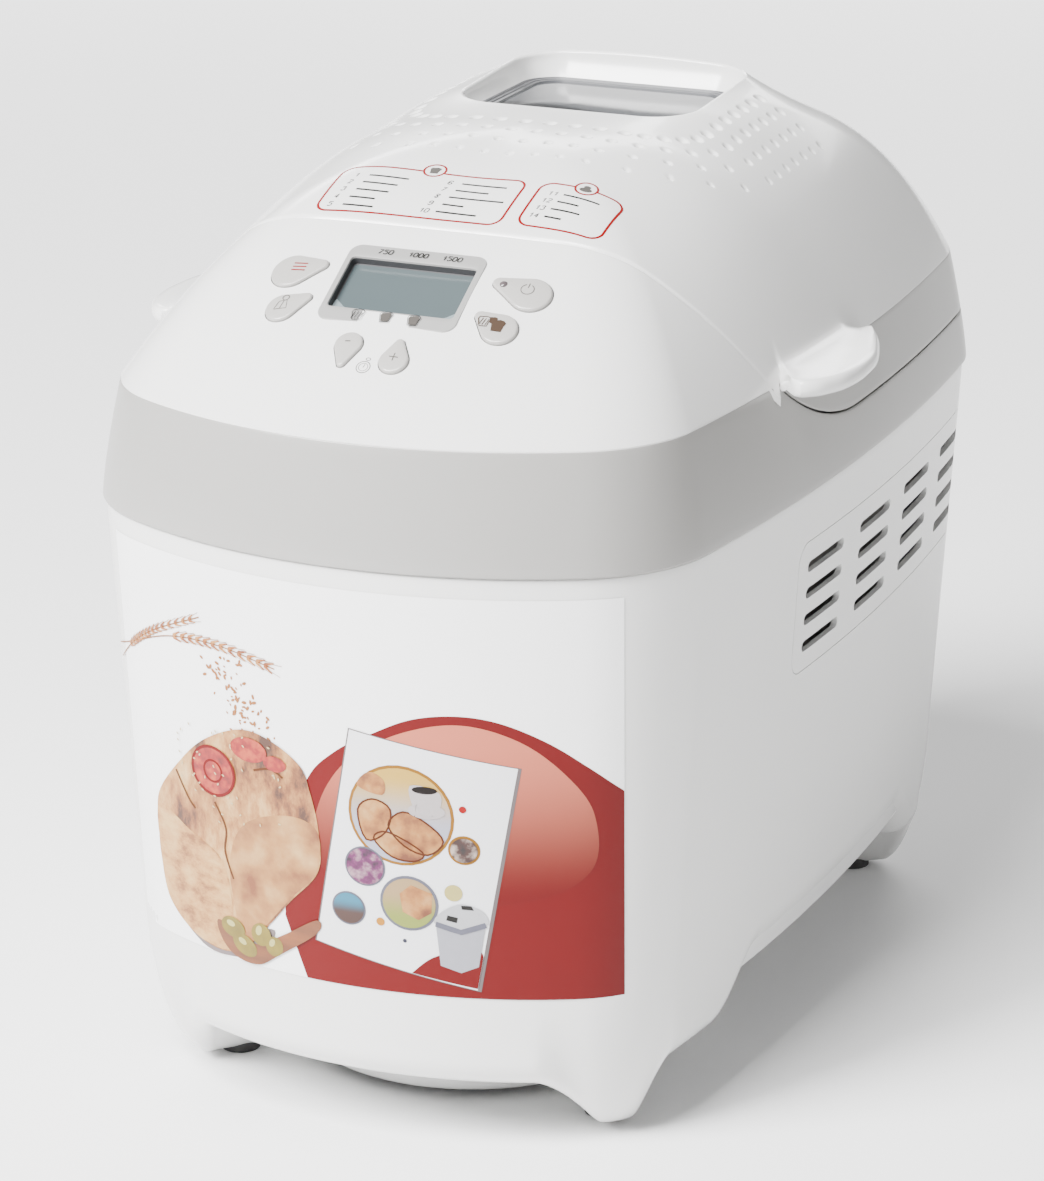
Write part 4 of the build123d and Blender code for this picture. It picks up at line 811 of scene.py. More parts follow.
def on_lid(flat, lift):
    z = dome_height(flat[:, 0], flat[:, 1]) + crater(flat[:, 0], flat[:, 1])
    return np.column_stack([flat, z + lift])


def on_wall(flat, lift):
    """Places over the front wall, from places seen from the front."""
    found = np.zeros((len(flat), 3))
    nearby = OUTLINE[:, 1] < -60
    for k, (x, z) in enumerate(flat):
        row = ring(wall_inset(z) - lift, z)[nearby]
        row = row[np.argsort(row[:, 0])]
        found[k] = (x, np.interp(x, row[:, 0], row[:, 1]), z)
    return found


def drop(length, width, steps=40):
    """A drop's outline: a round end and a small tip end, joined by tangent lines; the tip points along +X."""
    radius = width / 2
    tip = 0.32 * radius
    gap = length - radius - tip
    lean = math.acos((radius - tip) / gap)
    round_end = np.linspace(lean, 2 * math.pi - lean, steps)
    tip_end = np.linspace(-lean, lean, steps // 2)
    a = np.stack([np.cos(round_end), np.sin(round_end)], -1) * radius - (gap / 2, 0)
    b = np.stack([np.cos(tip_end), np.sin(tip_end)], -1) * tip + (gap / 2, 0)
    return np.concatenate([a, b])


def turned(flat, degrees, move=(0, 0)):
    c, s = math.cos(math.radians(degrees)), math.sin(math.radians(degrees))
    return np.asarray(flat, float) @ np.array([[c, s], [-s, c]]) + move


def grown(flat, amount):
    """A closed convex outline moved outward."""
    along = np.roll(flat, -1, 0) - np.roll(flat, 1, 0)
    normal = np.stack([along[:, 1], -along[:, 0]], -1) / np.maximum(np.hypot(*along.T), 1e-9)[:, None]
    return flat + normal * amount


def cap(name, outline, stations, surface, body, material, replaces=(), crown=0.3):
    """A closed cap that follows a surface: stations give the outline's growth and its lift, bottom up."""
    rows = [surface(grown(outline, amount), lift) for amount, lift in stations]
    middle = outline.mean(0)
    top = grown(outline, stations[-1][0])
    for share in (0.8, 0.55, 0.3, 0.1):
        rows.append(surface(middle + (top - middle) * share, stations[-1][1] + crown * (1 - share**2)))
    count = len(outline)
    faces = wall_faces(len(rows), count) + [list(range(count))[::-1]]
    faces += [list(range((len(rows) - 1) * count, len(rows) * count))]
    return piece(name, np.concatenate(rows), faces, body, material, replaces)


BUTTONS = (
    ("menu", -42.0, 5.0, 23.0, 16.6, 19),
    ("weight", -39.8, -13.5, 19.0, 13.2, 34),
    ("start", 43.9, 6.0, 24.8, 16.4, 167),
    ("crust", 40.6, -12.6, 19.5, 14.4, 153),
    ("minus", -9.2, -36.8, 16.4, 11.2, -88),
    ("plus", 10.8, -33.4, 16.2, 11.6, 94),
)
button_grey = moulded("button_grey", (0.33, 0.318, 0.305), (0.315, 0.305, 0.29), 0.28, Coat_Weight=0.25)
BUTTON_PLAY, BUTTON_PROUD, BUTTON_EASE = 0.35, 1.3, 0.9
button_profile = [(0, -3.0), (0, BUTTON_PROUD - BUTTON_EASE)]
button_profile += [
    (-BUTTON_EASE * (1 - math.cos(t)), BUTTON_PROUD - BUTTON_EASE * (1 - math.sin(t)))
    for t in np.linspace(0, math.pi / 2, 6)[1:]
]
BEZEL_MIDDLE, BEZEL_HALF, BEZEL_CORNER = (0.0, -0.3), (28.5, 20.5), 5.0
LCD_MIDDLE, LCD_HALF, LCD_CORNER = (0.0, -0.4), (26.0, 13.6), 1.8
openings = []
for name, x, y, length, width, turn in BUTTONS:
    outline = turned(drop(length, width), turn, (x, y))
    cap(
        "cap_" + name,
        outline,
        button_profile,
        on_face,
        "button_" + name,
        button_grey,
        ["button_" + name],
    )
    openings.append(prism(grown(outline, BUTTON_PLAY), FACE_X, FACE_Y, FACE_OUT, FACE_ORIGIN, -12, 30))
lcd_outline = rounded(*LCD_HALF, LCD_CORNER) + LCD_MIDDLE
openings.append(prism(grown(lcd_outline, 0.8), FACE_X, FACE_Y, FACE_OUT, FACE_ORIGIN, -12, 30))
cut(panel_piece, *openings)

bezel_silver = moulded("bezel_silver", (0.31, 0.305, 0.298), (0.30, 0.295, 0.288), 0.32, Metallic=0.25)
bezel_rows = []
bezel_outer = rounded(*BEZEL_HALF, BEZEL_CORNER, 14) + BEZEL_MIDDLE
bezel_inner = rounded(*LCD_HALF, LCD_CORNER, 14) + LCD_MIDDLE
for inset, lift in ((0, -0.2), (0, 0.25), (0.25, 0.5)):
    bezel_rows.append(on_face(grown(bezel_outer, -inset), lift))
for share in (0.33, 0.66):
    bezel_rows.append(on_face(bezel_outer + (bezel_inner - bezel_outer) * share, 0.5))
for inset, lift in ((0.35, 0.5), (0.1, 0.4), (0, 0.1), (0, -4.0)):
    bezel_rows.append(on_face(grown(bezel_inner, inset), lift))
bezel_rows.append(on_face(grown(bezel_inner, 0.7), -4.0))
bezel_rows.append(on_face(grown(bezel_inner, 0.7), -0.2))
count = len(bezel_outer)
piece(
    "display_frame",
    np.concatenate(bezel_rows),
    wall_faces(len(bezel_rows), count, closed_rows=True),
    "housing",
    bezel_silver,
    ["display_bezel"],
)
dark_plastic = moulded("dark_plastic", (0.035, 0.035, 0.038), (0.028, 0.028, 0.03), 0.45)
well_rows = [
    on_face(grown(bezel_inner, grow), lift)
    for grow, lift in ((-0.05, -0.5), (-0.05, -3.2), (-1.3, -3.4), (-1.3, -3.8), (0.6, -3.8), (0.6, -0.5))
]
piece(
    "display_well",
    np.concatenate(well_rows),
    wall_faces(len(well_rows), count, closed_rows=True),
    "housing",
    dark_plastic,
)
lcd_glass = finish(
    "lcd",
    lambda place: place.stretch(1.0, 1.0, 0.2).noise(9.0, 1.0).tint(
        (0.045, 0.060, 0.064), (0.065, 0.082, 0.086)
    ),
    lambda place: 0.16 + 0.05 * place.noise(80.0),
    Specular_IOR_Level=0.3,
)
cap(
    "display_pane",
    bezel_inner,
    [(-0.1, -4.4), (-0.1, -3.5), (-0.3, -3.3)],
    on_face,
    "housing",
    lcd_glass,
    ["display_window"],
    0.0,
)


def ribbon(path, width, closed=False, step=2.0):
    """Quads along a path in the plane, cut finely enough to follow a surface."""
    path = np.asarray(path, float)
    if closed:
        path = np.concatenate([path, path[:1]])
    fine = [path[:1]]
    for a, b in zip(path, path[1:]):
        parts = max(int(np.hypot(*(b - a)) / step), 1)
        fine.append(a + (b - a) * np.linspace(0, 1, parts + 1)[1:, None])
    fine = np.concatenate(fine)
    along = np.gradient(fine, axis=0)
    if closed:
        along[0] = along[-1] = fine[1] - fine[-2]
    along /= np.maximum(np.hypot(*along.T), 1e-9)[:, None]
    side = np.stack([-along[:, 1], along[:, 0]], -1) * width / 2
    n = len(fine)
    return np.concatenate([fine - side, fine + side]), [[k, k + 1, n + k + 1, n + k] for k in range(n - 1)]


def filled(outline, step=3.0):
    """A filled outline in the plane, cut into strips both ways so that it can follow a surface."""
    made = bmesh.new()
    made.faces.new([made.verts.new((x, y, 0)) for x, y in outline])
    low, high = np.min(outline, 0), np.max(outline, 0)
    for axis in (0, 1):
        for value in np.arange(low[axis] + step, high[axis], step):
            place, normal = [0.0, 0.0, 0.0], [0.0, 0.0, 0.0]
            place[axis], normal[axis] = value, 1.0
            everything = made.verts[:] + made.edges[:] + made.faces[:]
            bmesh.ops.bisect_plane(made, geom=everything, plane_co=place, plane_no=normal, dist=1e-5)
    bmesh.ops.triangulate(made, faces=made.faces[:])
    made.verts.index_update()
    found = np.array([v.co[:2] for v in made.verts]), [[v.index for v in face.verts] for face in made.faces]
    made.free()
    return found


def printed(name, shapes, surface, lift, body, material):
    """One printed layer: flat shapes laid on a surface."""
    points, faces, start = [], [], 0
    for flat, quads in shapes:
        points.append(surface(flat, lift))
        faces += [[start + k for k in quad] for quad in quads]
        start += len(flat)
    return piece(name, np.concatenate(points), faces, body, material)


def disc(x, y, radius, wide=1.0, steps=32):
    turn = np.linspace(0, 2 * math.pi, steps, endpoint=False)
    return np.stack([x + radius * wide * np.cos(turn), y + radius * np.sin(turn)], -1)


def ink(name, colour, shade=0.9, grain=300.0, roughness=0.4):
    """Printing ink, slightly uneven over its surface."""
    colour = strong(colour)
    dark = tuple(c * shade for c in colour)
    return finish(
        name,
        lambda place: place.noise(grain, 3.0).tint(dark, colour),
        lambda place: roughness + 0.06 * place.noise(90.0),
        Specular_IOR_Level=0.2,
    )


ink_grey = ink("ink_grey", (0.11, 0.105, 0.10))
ink_soft = ink("ink_soft", (0.30, 0.285, 0.27))
ink_red = ink("ink_red", (0.55, 0.004, 0.006))
ink_brown = ink("ink_brown", (0.24, 0.18, 0.14))
DIGITS = {
    "0": "04 02 11 31 42 46 37 17 06 04",
    "1": "15 37 31",
    "2": "06 17 37 46 45 01 41",
    "3": "06 17 37 46 35 24 35 43 42 31 11 02",
    "4": "31 37 03 43",
    "5": "47 07 05 25 44 42 31 11 02",
    "6": "46 37 17 06 02 11 31 42 43 34 14 03",
    "7": "07 47 11",
    "8": "24 06 17 37 46 24 42 31 11 02 24",
    "9": "02 11 31 42 46 37 17 06 05 14 34 45",
}


def digits(text, x, y, height, slant=0.18, stroke=0.18):
    """Plain sloping numerals, centred on a place, as ribbons."""
    scale = height / 6
    shapes = []
    start = x - len(text) * 5.6 * scale / 2
    for place, letter in enumerate(text):
        path = np.array([[int(p[0]), int(p[1]) - 4] for p in DIGITS[letter].split()], float)
        path[:, 0] = path[:, 0] * 0.95 + path[:, 1] * slant
        shapes.append(ribbon(path * scale + (start + place * 5.6 * scale, y), height * stroke, step=1.0))
    return shapes


LEGEND_Y = 16.9
legends = [
    shape
    for text, x in (("750", -13.1), ("1000", 0.4), ("1500", 14.5))
    for shape in digits(text, x, LEGEND_Y, 2.3)
]


def loaf(x, y, size):
    """A small tin loaf seen from the end."""
    return np.array(
        [
            (-1, 0.45), (-0.85, 0.85), (-0.3, 0.9), (0.1, 1.05), (0.7, 0.95), (1, 0.6), (0.85, 0.1),
            (0.75, -0.9), (-0.6, -1.0), (-0.8, -0.1),
        ]
    ) * size + (x, y)


LOAF_Y, LOAF_SIZE = -17.4, 2.6
LOAVES = (-11.6, 0.0, 11.4)
marks = [ribbon(loaf(x, LOAF_Y, LOAF_SIZE), 0.3, closed=True) for x in LOAVES]
marks += [
    ribbon([(LOAVES[0] - 2 + k * 1.3, LOAF_Y - 2), (LOAVES[0] - 1.2 + k * 1.3, LOAF_Y + 1.6)], 0.35)
    for k in range(3)
]
printed("marks_display", legends + marks, on_face, 0.56, "housing", ink_grey)
printed(
    "marks_loaves",
    [filled(loaf(LOAVES[1], LOAF_Y, LOAF_SIZE * 0.86)), filled(loaf(LOAVES[2], LOAF_Y, LOAF_SIZE * 0.86))],
    on_face,
    0.53,
    "housing",
    ink_soft,
)
TIMER = (0.2, -41.8)
printed(
    "mark_timer",
    [
        ribbon(disc(*TIMER, 2.7), 0.35, closed=True),
        ribbon(disc(*TIMER, 1.8), 0.25, closed=True),
        ribbon([(0.2, -42.0), (0.5, -40.4)], 0.3),
        ribbon(disc(0.9, -37.9, 0.6, 1.5), 0.3, closed=True),
    ],
    on_face,
    0.06,
    "housing",
    ink_soft,
)
PROUD = BUTTON_PROUD + 0.34
printed(
    "mark_menu",
    [ribbon([(-47.6, y), (-41.8, y)], 0.6) for y in (6.2, 4.4, 2.6)],
    on_face,
    PROUD,
    "button_menu",
    ink_red,
)
weigher = [ribbon(disc(-43.6, -12.2, 1.3), 0.3, closed=True)]
weigher += [
    ribbon([(-46.6, -18.2), (-45.7, -14.2), (-42.6, -13.4), (-41.6, -17.4)], 0.3, closed=True),
    ribbon([(-44.3, -17.8), (-43.8, -14)], 0.3),
]
printed("mark_weight", weigher, on_face, PROUD, "button_weight", ink_soft)
POWER_MARK = (49.1, 5.8)
ring_arc = np.array(
    [(math.cos(t), math.sin(t)) for t in np.linspace(math.radians(115), math.radians(425), 30)]
) * 2.5 + POWER_MARK
printed(
    "mark_start",
    [ribbon(ring_arc, 0.35, step=0.5), ribbon([(49.1, 6.6), (49.1, 8.9)], 0.35)],
    on_face,
    PROUD,
    "button_start",
    ink_soft,
)
printed(
    "mark_crust",
    [filled(loaf(44.4, -14.4, 2.9)), filled(loaf(42.0, -12.2, 1.6))],
    on_face,
    PROUD,
    "button_crust",
    ink_brown,
)
printed(
    "mark_crust_lines",
    [ribbon(loaf(38.6, -13.4, 2.4), 0.35, closed=True)] + [
        ribbon([(37.2 + k * 1.2, -15.2), (38 + k * 1.2, -11.9)], 0.3) for k in range(3)
    ],
    on_face,
    PROUD + 0.03,
    "button_crust",
    ink_brown,
)
printed(
    "mark_minus", [ribbon([(-10.7, -31.9), (-8.6, -31.7)], 0.5)], on_face, PROUD, "button_minus", ink_soft
)
printed(
    "mark_plus",
    [ribbon([(9.2, -36.7), (12.8, -36.7)], 0.45), ribbon([(11, -38.5), (11, -34.9)], 0.45)],
    on_face,
    PROUD,
    "button_plus",
    ink_soft,
)
LAMP = (39.3, 6.4)
lamp_dark = finish(
    "lamp_lens",
    lambda place: place.noise(200.0).tint((0.05, 0.045, 0.05), (0.09, 0.07, 0.07)),
    lambda place: 0.08 + 0.04 * place.noise(60.0),
)
cap(
    "lamp_lens",
    disc(*LAMP, 1.5),
    [(0, 0.5), (0, BUTTON_PROUD + 0.3), (-0.3, BUTTON_PROUD + 0.6)],
    on_face,
    "button_start",
    lamp_dark,
    crown=0.3,
)

# ---- Programme tables: pad-printed straight on the lid in red and grey, as numbers with a plain bar for each
# entry. A ringed mark sits on each table's rear edge.
def table(left, right, front, rear, corner, gap_x, gap):
    """A rounded rectangle with a gap in its rear edge for the ringed mark."""
    box = rounded((right - left) / 2, (rear - front) / 2, corner, 10) + (
        (left + right) / 2, (front + rear) / 2
    )
    path = [(gap_x - gap, rear), *sorted_round(box, gap_x, rear), (gap_x + gap, rear)]
    return ribbon(path, 1.0, step=1.5)


def sorted_round(box, gap_x, rear):
    """The outline's points in turn, from left of a place on its rear edge round to the right of it."""
    middle = box.mean(0)
    start = math.atan2(rear - middle[1], gap_x - middle[0])
    turn = (np.arctan2(box[:, 1] - middle[1], box[:, 0] - middle[0]) - start) % (2 * math.pi)
    return box[np.argsort(turn)]


TABLE_REAR, TABLE_CORNER, MARK_GAP = -70.0, 5.0, 4.6
MARK_X, TABLE_LIFT = (-16.6, 47.5), 0.07
table_lines = [
    table(-54, 23.5, -100.0, TABLE_REAR, TABLE_CORNER, MARK_X[0], MARK_GAP),
    table(30, 64, -98.0, TABLE_REAR, TABLE_CORNER, MARK_X[1], MARK_GAP),
]
table_lines += [ribbon(disc(x, y, 4.4), 0.9, closed=True) for x, y in zip(MARK_X, (-68.5, -69.5))]
printed("table_lines", table_lines, on_lid, TABLE_LIFT, "lid", ink_red)
entries = []
BARS = ((17, 15, 14, 11, 13), (19, 14, 23, 9, 17), (15, 9, 12, 7))
for column, (number_x, bar_x, first_y, number) in enumerate(
    ((-46, -41, -76.5, 1), (-6.5, -2, -75.5, 6), (37, 41, -76.5, 11))
):
    for row, bar in enumerate(BARS[column]):
        y = first_y - 4.9 * row - 0.03 * number
        entries += digits(str(number + row), number_x - 0.6 * row, y, 2.4)
        entries.append(ribbon([(bar_x - 0.6 * row, y), (bar_x - 0.6 * row + bar, y - 0.4)], 1.0, step=1.5))
printed("table_entries", entries, on_lid, TABLE_LIFT, "lid", ink_grey)
printed(
    "table_marks",
    [
        filled(loaf(MARK_X[0], -68.6, 2.3)),
        filled(disc(MARK_X[1], -70.6, 1.5, 1.7)),
        filled(disc(MARK_X[1], -68.6, 1.2, 1.2)),
    ],
    on_lid,
    TABLE_LIFT,
    "lid",
    ink_soft,
)

# ---- Front label: a printed film on the front wall. It shows a loaf with tomato, wheat and olives, and a
# white booklet with picture roundels over a red arch; it carries no words.
FILM_LOW, FILM_HIGH, FILM_HALF = 66.8, 230.2, (102.2, 105.6)
FILM_LIFT, LAYER = 0.25, 0.08


def film_grid(columns=90, rows=50):
    """The film as a fine grid, open to the wall."""
    z = np.linspace(FILM_LOW, FILM_HIGH, rows)
    flat = [(x * (FILM_HALF[0] + (FILM_HALF[1] - FILM_HALF[0]) * (v - FILM_LOW) / (FILM_HIGH - FILM_LOW)), v)
            for v in z for x in np.linspace(-1, 1, columns)]
    return np.array(flat), wall_faces(rows, columns, closed_columns=False)


film_finish = finish(
    "label_film",
    lambda place: place.noise(30.0).tint((0.80, 0.80, 0.805), (0.83, 0.83, 0.83)),
    lambda place: 0.3 + 0.04 * place.noise(70.0),
)
film = printed("front_film", [film_grid()], on_wall, FILM_LIFT, "housing", film_finish)
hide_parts("front_label")


def curve(points, steps=10, closed=True):
    """A smooth curve through places."""
    p = np.array(points, float)
    p = np.concatenate([p[-1:], p, p[:2]]) if closed else np.concatenate([p[:1], p, p[-1:]])
    made = []
    for a, b, c, d in zip(p, p[1:], p[2:], p[3:]):
        for t in np.linspace(0, 1, steps, endpoint=False):
            made.append(
                0.5
                * (2 * b + (c - a) * t + (2 * a - 5 * b + 4 * c - d) * t**2 + (3 * b - a - 3 * c + d) * t**3)
            )
    return np.array(made)


def art(name, shapes, layer, material):
    """One colour of the label's picture; a higher layer lies over a lower one."""
    printed("art_" + name, shapes, on_wall, FILM_LIFT + LAYER * layer, "housing", material)


def height_share(place, low, high):
    """0 to 1 between two heights in metres."""
    split = place.node("SeparateXYZ", None, {"Vector": place})
    return Wire(place.tree, split.socket.node.outputs[2]).between(low, high)


arch = np.concatenate(
    [
        curve(
            [
                (-24.7, 91.6), (-22, 120), (-12.5, 150), (0, 164), (17, 174.2), (32, 181), (48.6, 183.3),
                (64, 181), (80, 173.4), (94, 162.5), (104.2, 152.0),
            ],
            closed=False,
        ),
        [(104.0, 152.0), (102.2, 66.9), (-16, 66.9)],
    ]
)
print_red = ink("print_red", (0.40, 0.001, 0.012), 0.85, 20.0, 0.32)
art("arch", [filled(arch)], 1, print_red)
glow = finish(
    "print_glow",
    lambda place: height_share(place, 0.108, 0.176).tint(
        strong((0.37, 0.002, 0.006)), strong((0.85, 0.42, 0.32))
    ),
    lambda place: 0.32 + 0.05 * place.noise(80.0),
    Specular_IOR_Level=0.2,
)
glow_shape = curve(
    [
        (-10, 118), (-8, 140), (4, 160), (25, 174), (48.6, 179.8), (70, 174), (86, 160), (95, 143),
        (93, 120), (70, 108), (20, 104),
    ]
)
art("glow", [filled(glow_shape)], 2, glow)
CARD = ((6.8, 174.3), (69.7, 162.9), (52.7, 70.5), (-10.9, 84.2))
art(
    "card_edge",
    [filled([(6.3, 174.8), (71.0, 163.0), (54.0, 69.8), (-11.6, 83.9)])],
    3,
    ink("print_shade", (0.40, 0.36, 0.36)),
)
art("card", [filled(CARD)], 4, moulded("print_white", (0.66, 0.66, 0.68), (0.63, 0.63, 0.65), 0.4))
print_gold = ink("print_gold", (0.58, 0.36, 0.08), 0.8)
print_steel = ink("print_steel", (0.38, 0.38, 0.44), 0.85)


def mottled(name, *colours, scale=90.0):
    """Several colours broken up by noise, as in a small picture."""
    stops = [(0.32 + 0.36 * k / (len(colours) - 1), strong(colour)) for k, colour in enumerate(colours)]
    return finish(
        name,
        lambda place: place.noise(scale, 5.0).node(
            "ValToRGB", {"stops": stops}, {"Fac": place.noise(scale, 5.0)}
        ),
        lambda place: 0.33 + 0.05 * place.noise(80.0),
    )


toast = mottled("print_toast", (0.42, 0.18, 0.05), (0.72, 0.42, 0.16), (0.84, 0.60, 0.32), scale=120.0)
art("rims_gold", [filled(disc(25.7, 141.3, 20.6)), filled(disc(49.5, 128.8, 6.0))], 5, print_gold)
art(
    "rims_grey",
    [filled(disc(10.9, 118.6, 8.2)), filled(disc(27.9, 105.2, 11.4)), filled(disc(3.5, 100.1, 7.0))],
    6,
    print_steel,
)
picture = finish(
    "print_table",
    lambda place: height_share(place, 0.135, 0.158).tint(
        strong((0.66, 0.66, 0.74)), strong((0.82, 0.62, 0.18))
    ),
    lambda place: 0.33 + 0.05 * place.noise(80.0),
)
art("table", [filled(disc(25.7, 141.3, 19.4))], 6, picture)
slices = [
    [(9, 142), (15, 147), (22, 143.5), (20, 134), (12, 130)],
    [(21, 137), (27, 143), (36, 139), (42, 132), (36, 126), (27, 129)],
    [(15, 131), (21, 134), (34, 127), (31, 123), (22, 124)],
    [(9, 152), (14, 158), (20, 155), (19, 149)],
]
art("slices", [filled(curve(s, 4)) for s in slices], 7, toast)
art(
    "slice_edges",
    [ribbon(curve(s, 4), 0.7, closed=True) for s in slices[:3]],
    8,
    ink("print_crust", (0.30, 0.13, 0.05)),
)
cup = [curve([(30, 154), (41, 152), (41, 145), (37, 141.5), (32, 143)], 5)]
art("cup", [filled(disc(36, 144, 3.2, 2.2)), filled(cup[0])], 8, ink("print_china", (0.76, 0.72, 0.72)))
art("coffee", [filled(disc(35.6, 152.6, 1.5, 3.2))], 9, ink("print_coffee", (0.06, 0.03, 0.02)))
art(
    "purple",
    [filled(disc(10.9, 118.6, 7.5))],
    8,
    mottled("print_purple", (0.10, 0.01, 0.09), (0.36, 0.02, 0.28), (0.66, 0.50, 0.55), scale=260.0),
)
art(
    "loaf_disc",
    [filled(disc(3.5, 100.1, 6.3))],
    8,
    finish(
        "print_sky",
        lambda place: height_share(place, 0.098, 0.104).tint(
            strong((0.20, 0.09, 0.05)), strong((0.10, 0.42, 0.55))
        ),
        0.35,
    ),
)
art(
    "green",
    [filled(disc(27.9, 105.2, 10.3))],
    8,
    finish(
        "print_cloth",
        lambda place: height_share(place, 0.098, 0.11).tint(
            strong((0.50, 0.55, 0.16)), strong((0.66, 0.52, 0.33))
        ),
        0.35,
    ),
)
art("cake", [filled([(24.5, 109), (29, 113), (37, 110), (36.6, 102), (31.5, 98.6), (25.5, 101.5)])], 9, toast)
art(
    "biscuit",
    [filled(disc(49.5, 128.8, 5.0))],
    8,
    mottled("print_biscuit", (0.05, 0.02, 0.02), (0.20, 0.08, 0.05), (0.75, 0.66, 0.60), scale=200.0),
)
dots = (
    (49.5, 145.6, 1.4, (0.62, 0.03, 0.04)),
    (45.0, 110.9, 3.4, (0.80, 0.73, 0.42)),
    (16.3, 96.2, 1.7, (0.78, 0.48, 0.12)),
    (25.7, 89.3, 0.8, (0.2, 0.2, 0.25)),
)
for number, (x, z, radius, colour) in enumerate(dots):
    art(f"dot_{number}", [filled(disc(x, z, radius))], 6, ink(f"print_dot_{number}", colour))
art(
    "booklet_foot",
    [
        filled(
            curve([(28, 76), (36, 83), (46, 86.5), (54, 87), (55.3, 84)], 6, closed=False).tolist()
            + [(52.8, 71.2), (28, 76)]
        )
    ],
    6,
    print_red,
)
art(
    "machine_body",
    [filled([(38, 97), (56.5, 98), (53.5, 80.5), (47, 77.6), (39.3, 80.2)])],
    7,
    ink("print_pale", (0.66, 0.66, 0.70)),
)
art(
    "machine_lid",
    [filled(curve([(37.8, 97.5), (40, 102.5), (48, 106.5), (56, 103.5), (57, 98), (48, 95.5)], 6))],
    8,
    ink("print_lid", (0.78, 0.78, 0.80)),
)
art("machine_band", [ribbon([(38, 97.6), (47.5, 94.8), (56.7, 98.2)], 2.2)], 9, print_steel)
art(
    "machine_window",
    [
        filled([(48, 104.4), (52.5, 104.2), (51.6, 106), (47.8, 106)]),
        filled([(42, 99.5), (46, 98.6), (46.5, 100.8), (42.6, 101.6)]),
    ],
    9,
    ink_grey,
)

LOAF_SHAPE = (
    (-87, 127),
    (-88.5, 112),
    (-88, 99),
    (-84, 82),
    (-69, 71),
    (-50, 70),
    (-34, 84),
    (-22, 98),
    (-9, 113),
    (-8, 130),
    (-11, 146),
    (-15, 156),
    (-28, 164),
    (-42, 165.5),
    (-60, 157),
    (-74, 144),
)
crust = finish(
    "print_loaf",
    lambda place: place.node(
        "ValToRGB",
        {
            "stops": [
                (0.36, (0.05, 0.014, 0.004)),
                (0.43, (0.20, 0.065, 0.014)),
                (0.50, (0.34, 0.15, 0.04)),
                (0.57, (0.44, 0.25, 0.09)),
                (0.68, (0.52, 0.36, 0.18)),
            ]
        },
        {"Fac": place.stretch(1.6, 1.0, 0.7).noise(38.0, 9.0, 0.7)},
    ),
    lambda place: 0.34 + 0.06 * place.noise(60.0),
)
art(
    "loaf_shade",
    [filled(curve(((-84, 84), (-67, 68.5), (-50, 67.6), (-38, 72), (-30, 84), (-50, 80)), 6))],
    2,
    ink("print_shadow", (0.52, 0.46, 0.46), 0.7, 60.0),
)
art("loaf", [filled(curve(LOAF_SHAPE, 8))], 5, crust)
side_crust = finish(
    "print_loaf_side",
    lambda place: place.node(
        "ValToRGB",
        {"stops": [(0.36, (0.20, 0.07, 0.015)), (0.47, (0.38, 0.18, 0.05)), (0.62, (0.47, 0.28, 0.10))]},
        {"Fac": place.stretch(1.0, 1.0, 1.6).noise(85.0, 8.0, 0.7)},
    ),
    lambda place: 0.34 + 0.06 * place.noise(60.0),
)
art(
    "loaf_left",
    [
        filled(
            curve(
                [
                    (-87.5, 122), (-70, 116), (-54, 108), (-50, 90), (-51, 71), (-69, 71.5), (-84, 82.5),
                    (-87.5, 99),
                ],
                6,
            )
        )
    ],
    6,
    side_crust,
)
art(
    "loaf_right",
    [
        filled(
            curve(
                [
                    (-8.6, 130), (-22, 134), (-42, 126), (-50, 108), (-48, 86), (-44, 74), (-34, 85),
                    (-22, 99), (-9.6, 113),
                ],
                6,
            )
        )
    ],
    6,
    mottled("print_crumb", (0.50, 0.24, 0.09), (0.74, 0.47, 0.22), (0.88, 0.66, 0.38), scale=70.0),
)
art(
    "cracks",
    [
        ribbon(curve(path, 6, closed=False), 0.9)
        for path in (
            ((-56, 132), (-51, 122), (-52, 112), (-48, 100)),
            ((-76, 140), (-70, 130), (-66, 126)),
            ((-36, 150), (-28, 152), (-22, 149)),
        )
    ],
    7,
    ink("print_crack", (0.34, 0.17, 0.07)),
)
tomato = mottled("print_tomato", (0.40, 0.01, 0.005), (0.62, 0.05, 0.02), (0.80, 0.26, 0.12), scale=260.0)
art(
    "tomato",
    [
        filled(disc(-56, 145, 10.5, 1.05)),
        filled(disc(-38, 158, 5.0, 1.7)),
        filled(disc(-26, 154.5, 3.2, 1.6)),
    ],
    8,
    tomato,
)
art(
    "tomato_ring",
    [ribbon(disc(-56, 145, 10.0, 1.05), 1.2, closed=True), ribbon(disc(-56, 145, 4.4), 0.9, closed=True)],
    9,
    ink("print_skin", (0.42, 0.01, 0.005)),
)
seeds, grains = [], []
scatter = np.random.default_rng(7)
for _ in range(46):
    x, z = scatter.uniform(-74, -20), scatter.uniform(124, 163)
    seeds.append(filled(turned(disc(0, 0, 0.35, 1.9, 10), scatter.uniform(0, 180), (x, z))))
for _ in range(80):
    fall = scatter.uniform(0, 1)
    x, z = -50 + 16 * fall + scatter.normal(0, 6.0), 194 - 30 * fall
    grains.append(
        filled(turned(disc(0, 0, scatter.uniform(0.3, 0.7), 1.8, 10), scatter.uniform(0, 180), (x, z)))
    )
art("seeds", seeds, 10, ink("print_seed", (0.86, 0.76, 0.55)))
art("grains", grains, 2, ink("print_grain", (0.72, 0.42, 0.22), 0.7))
husks, beards = [], []
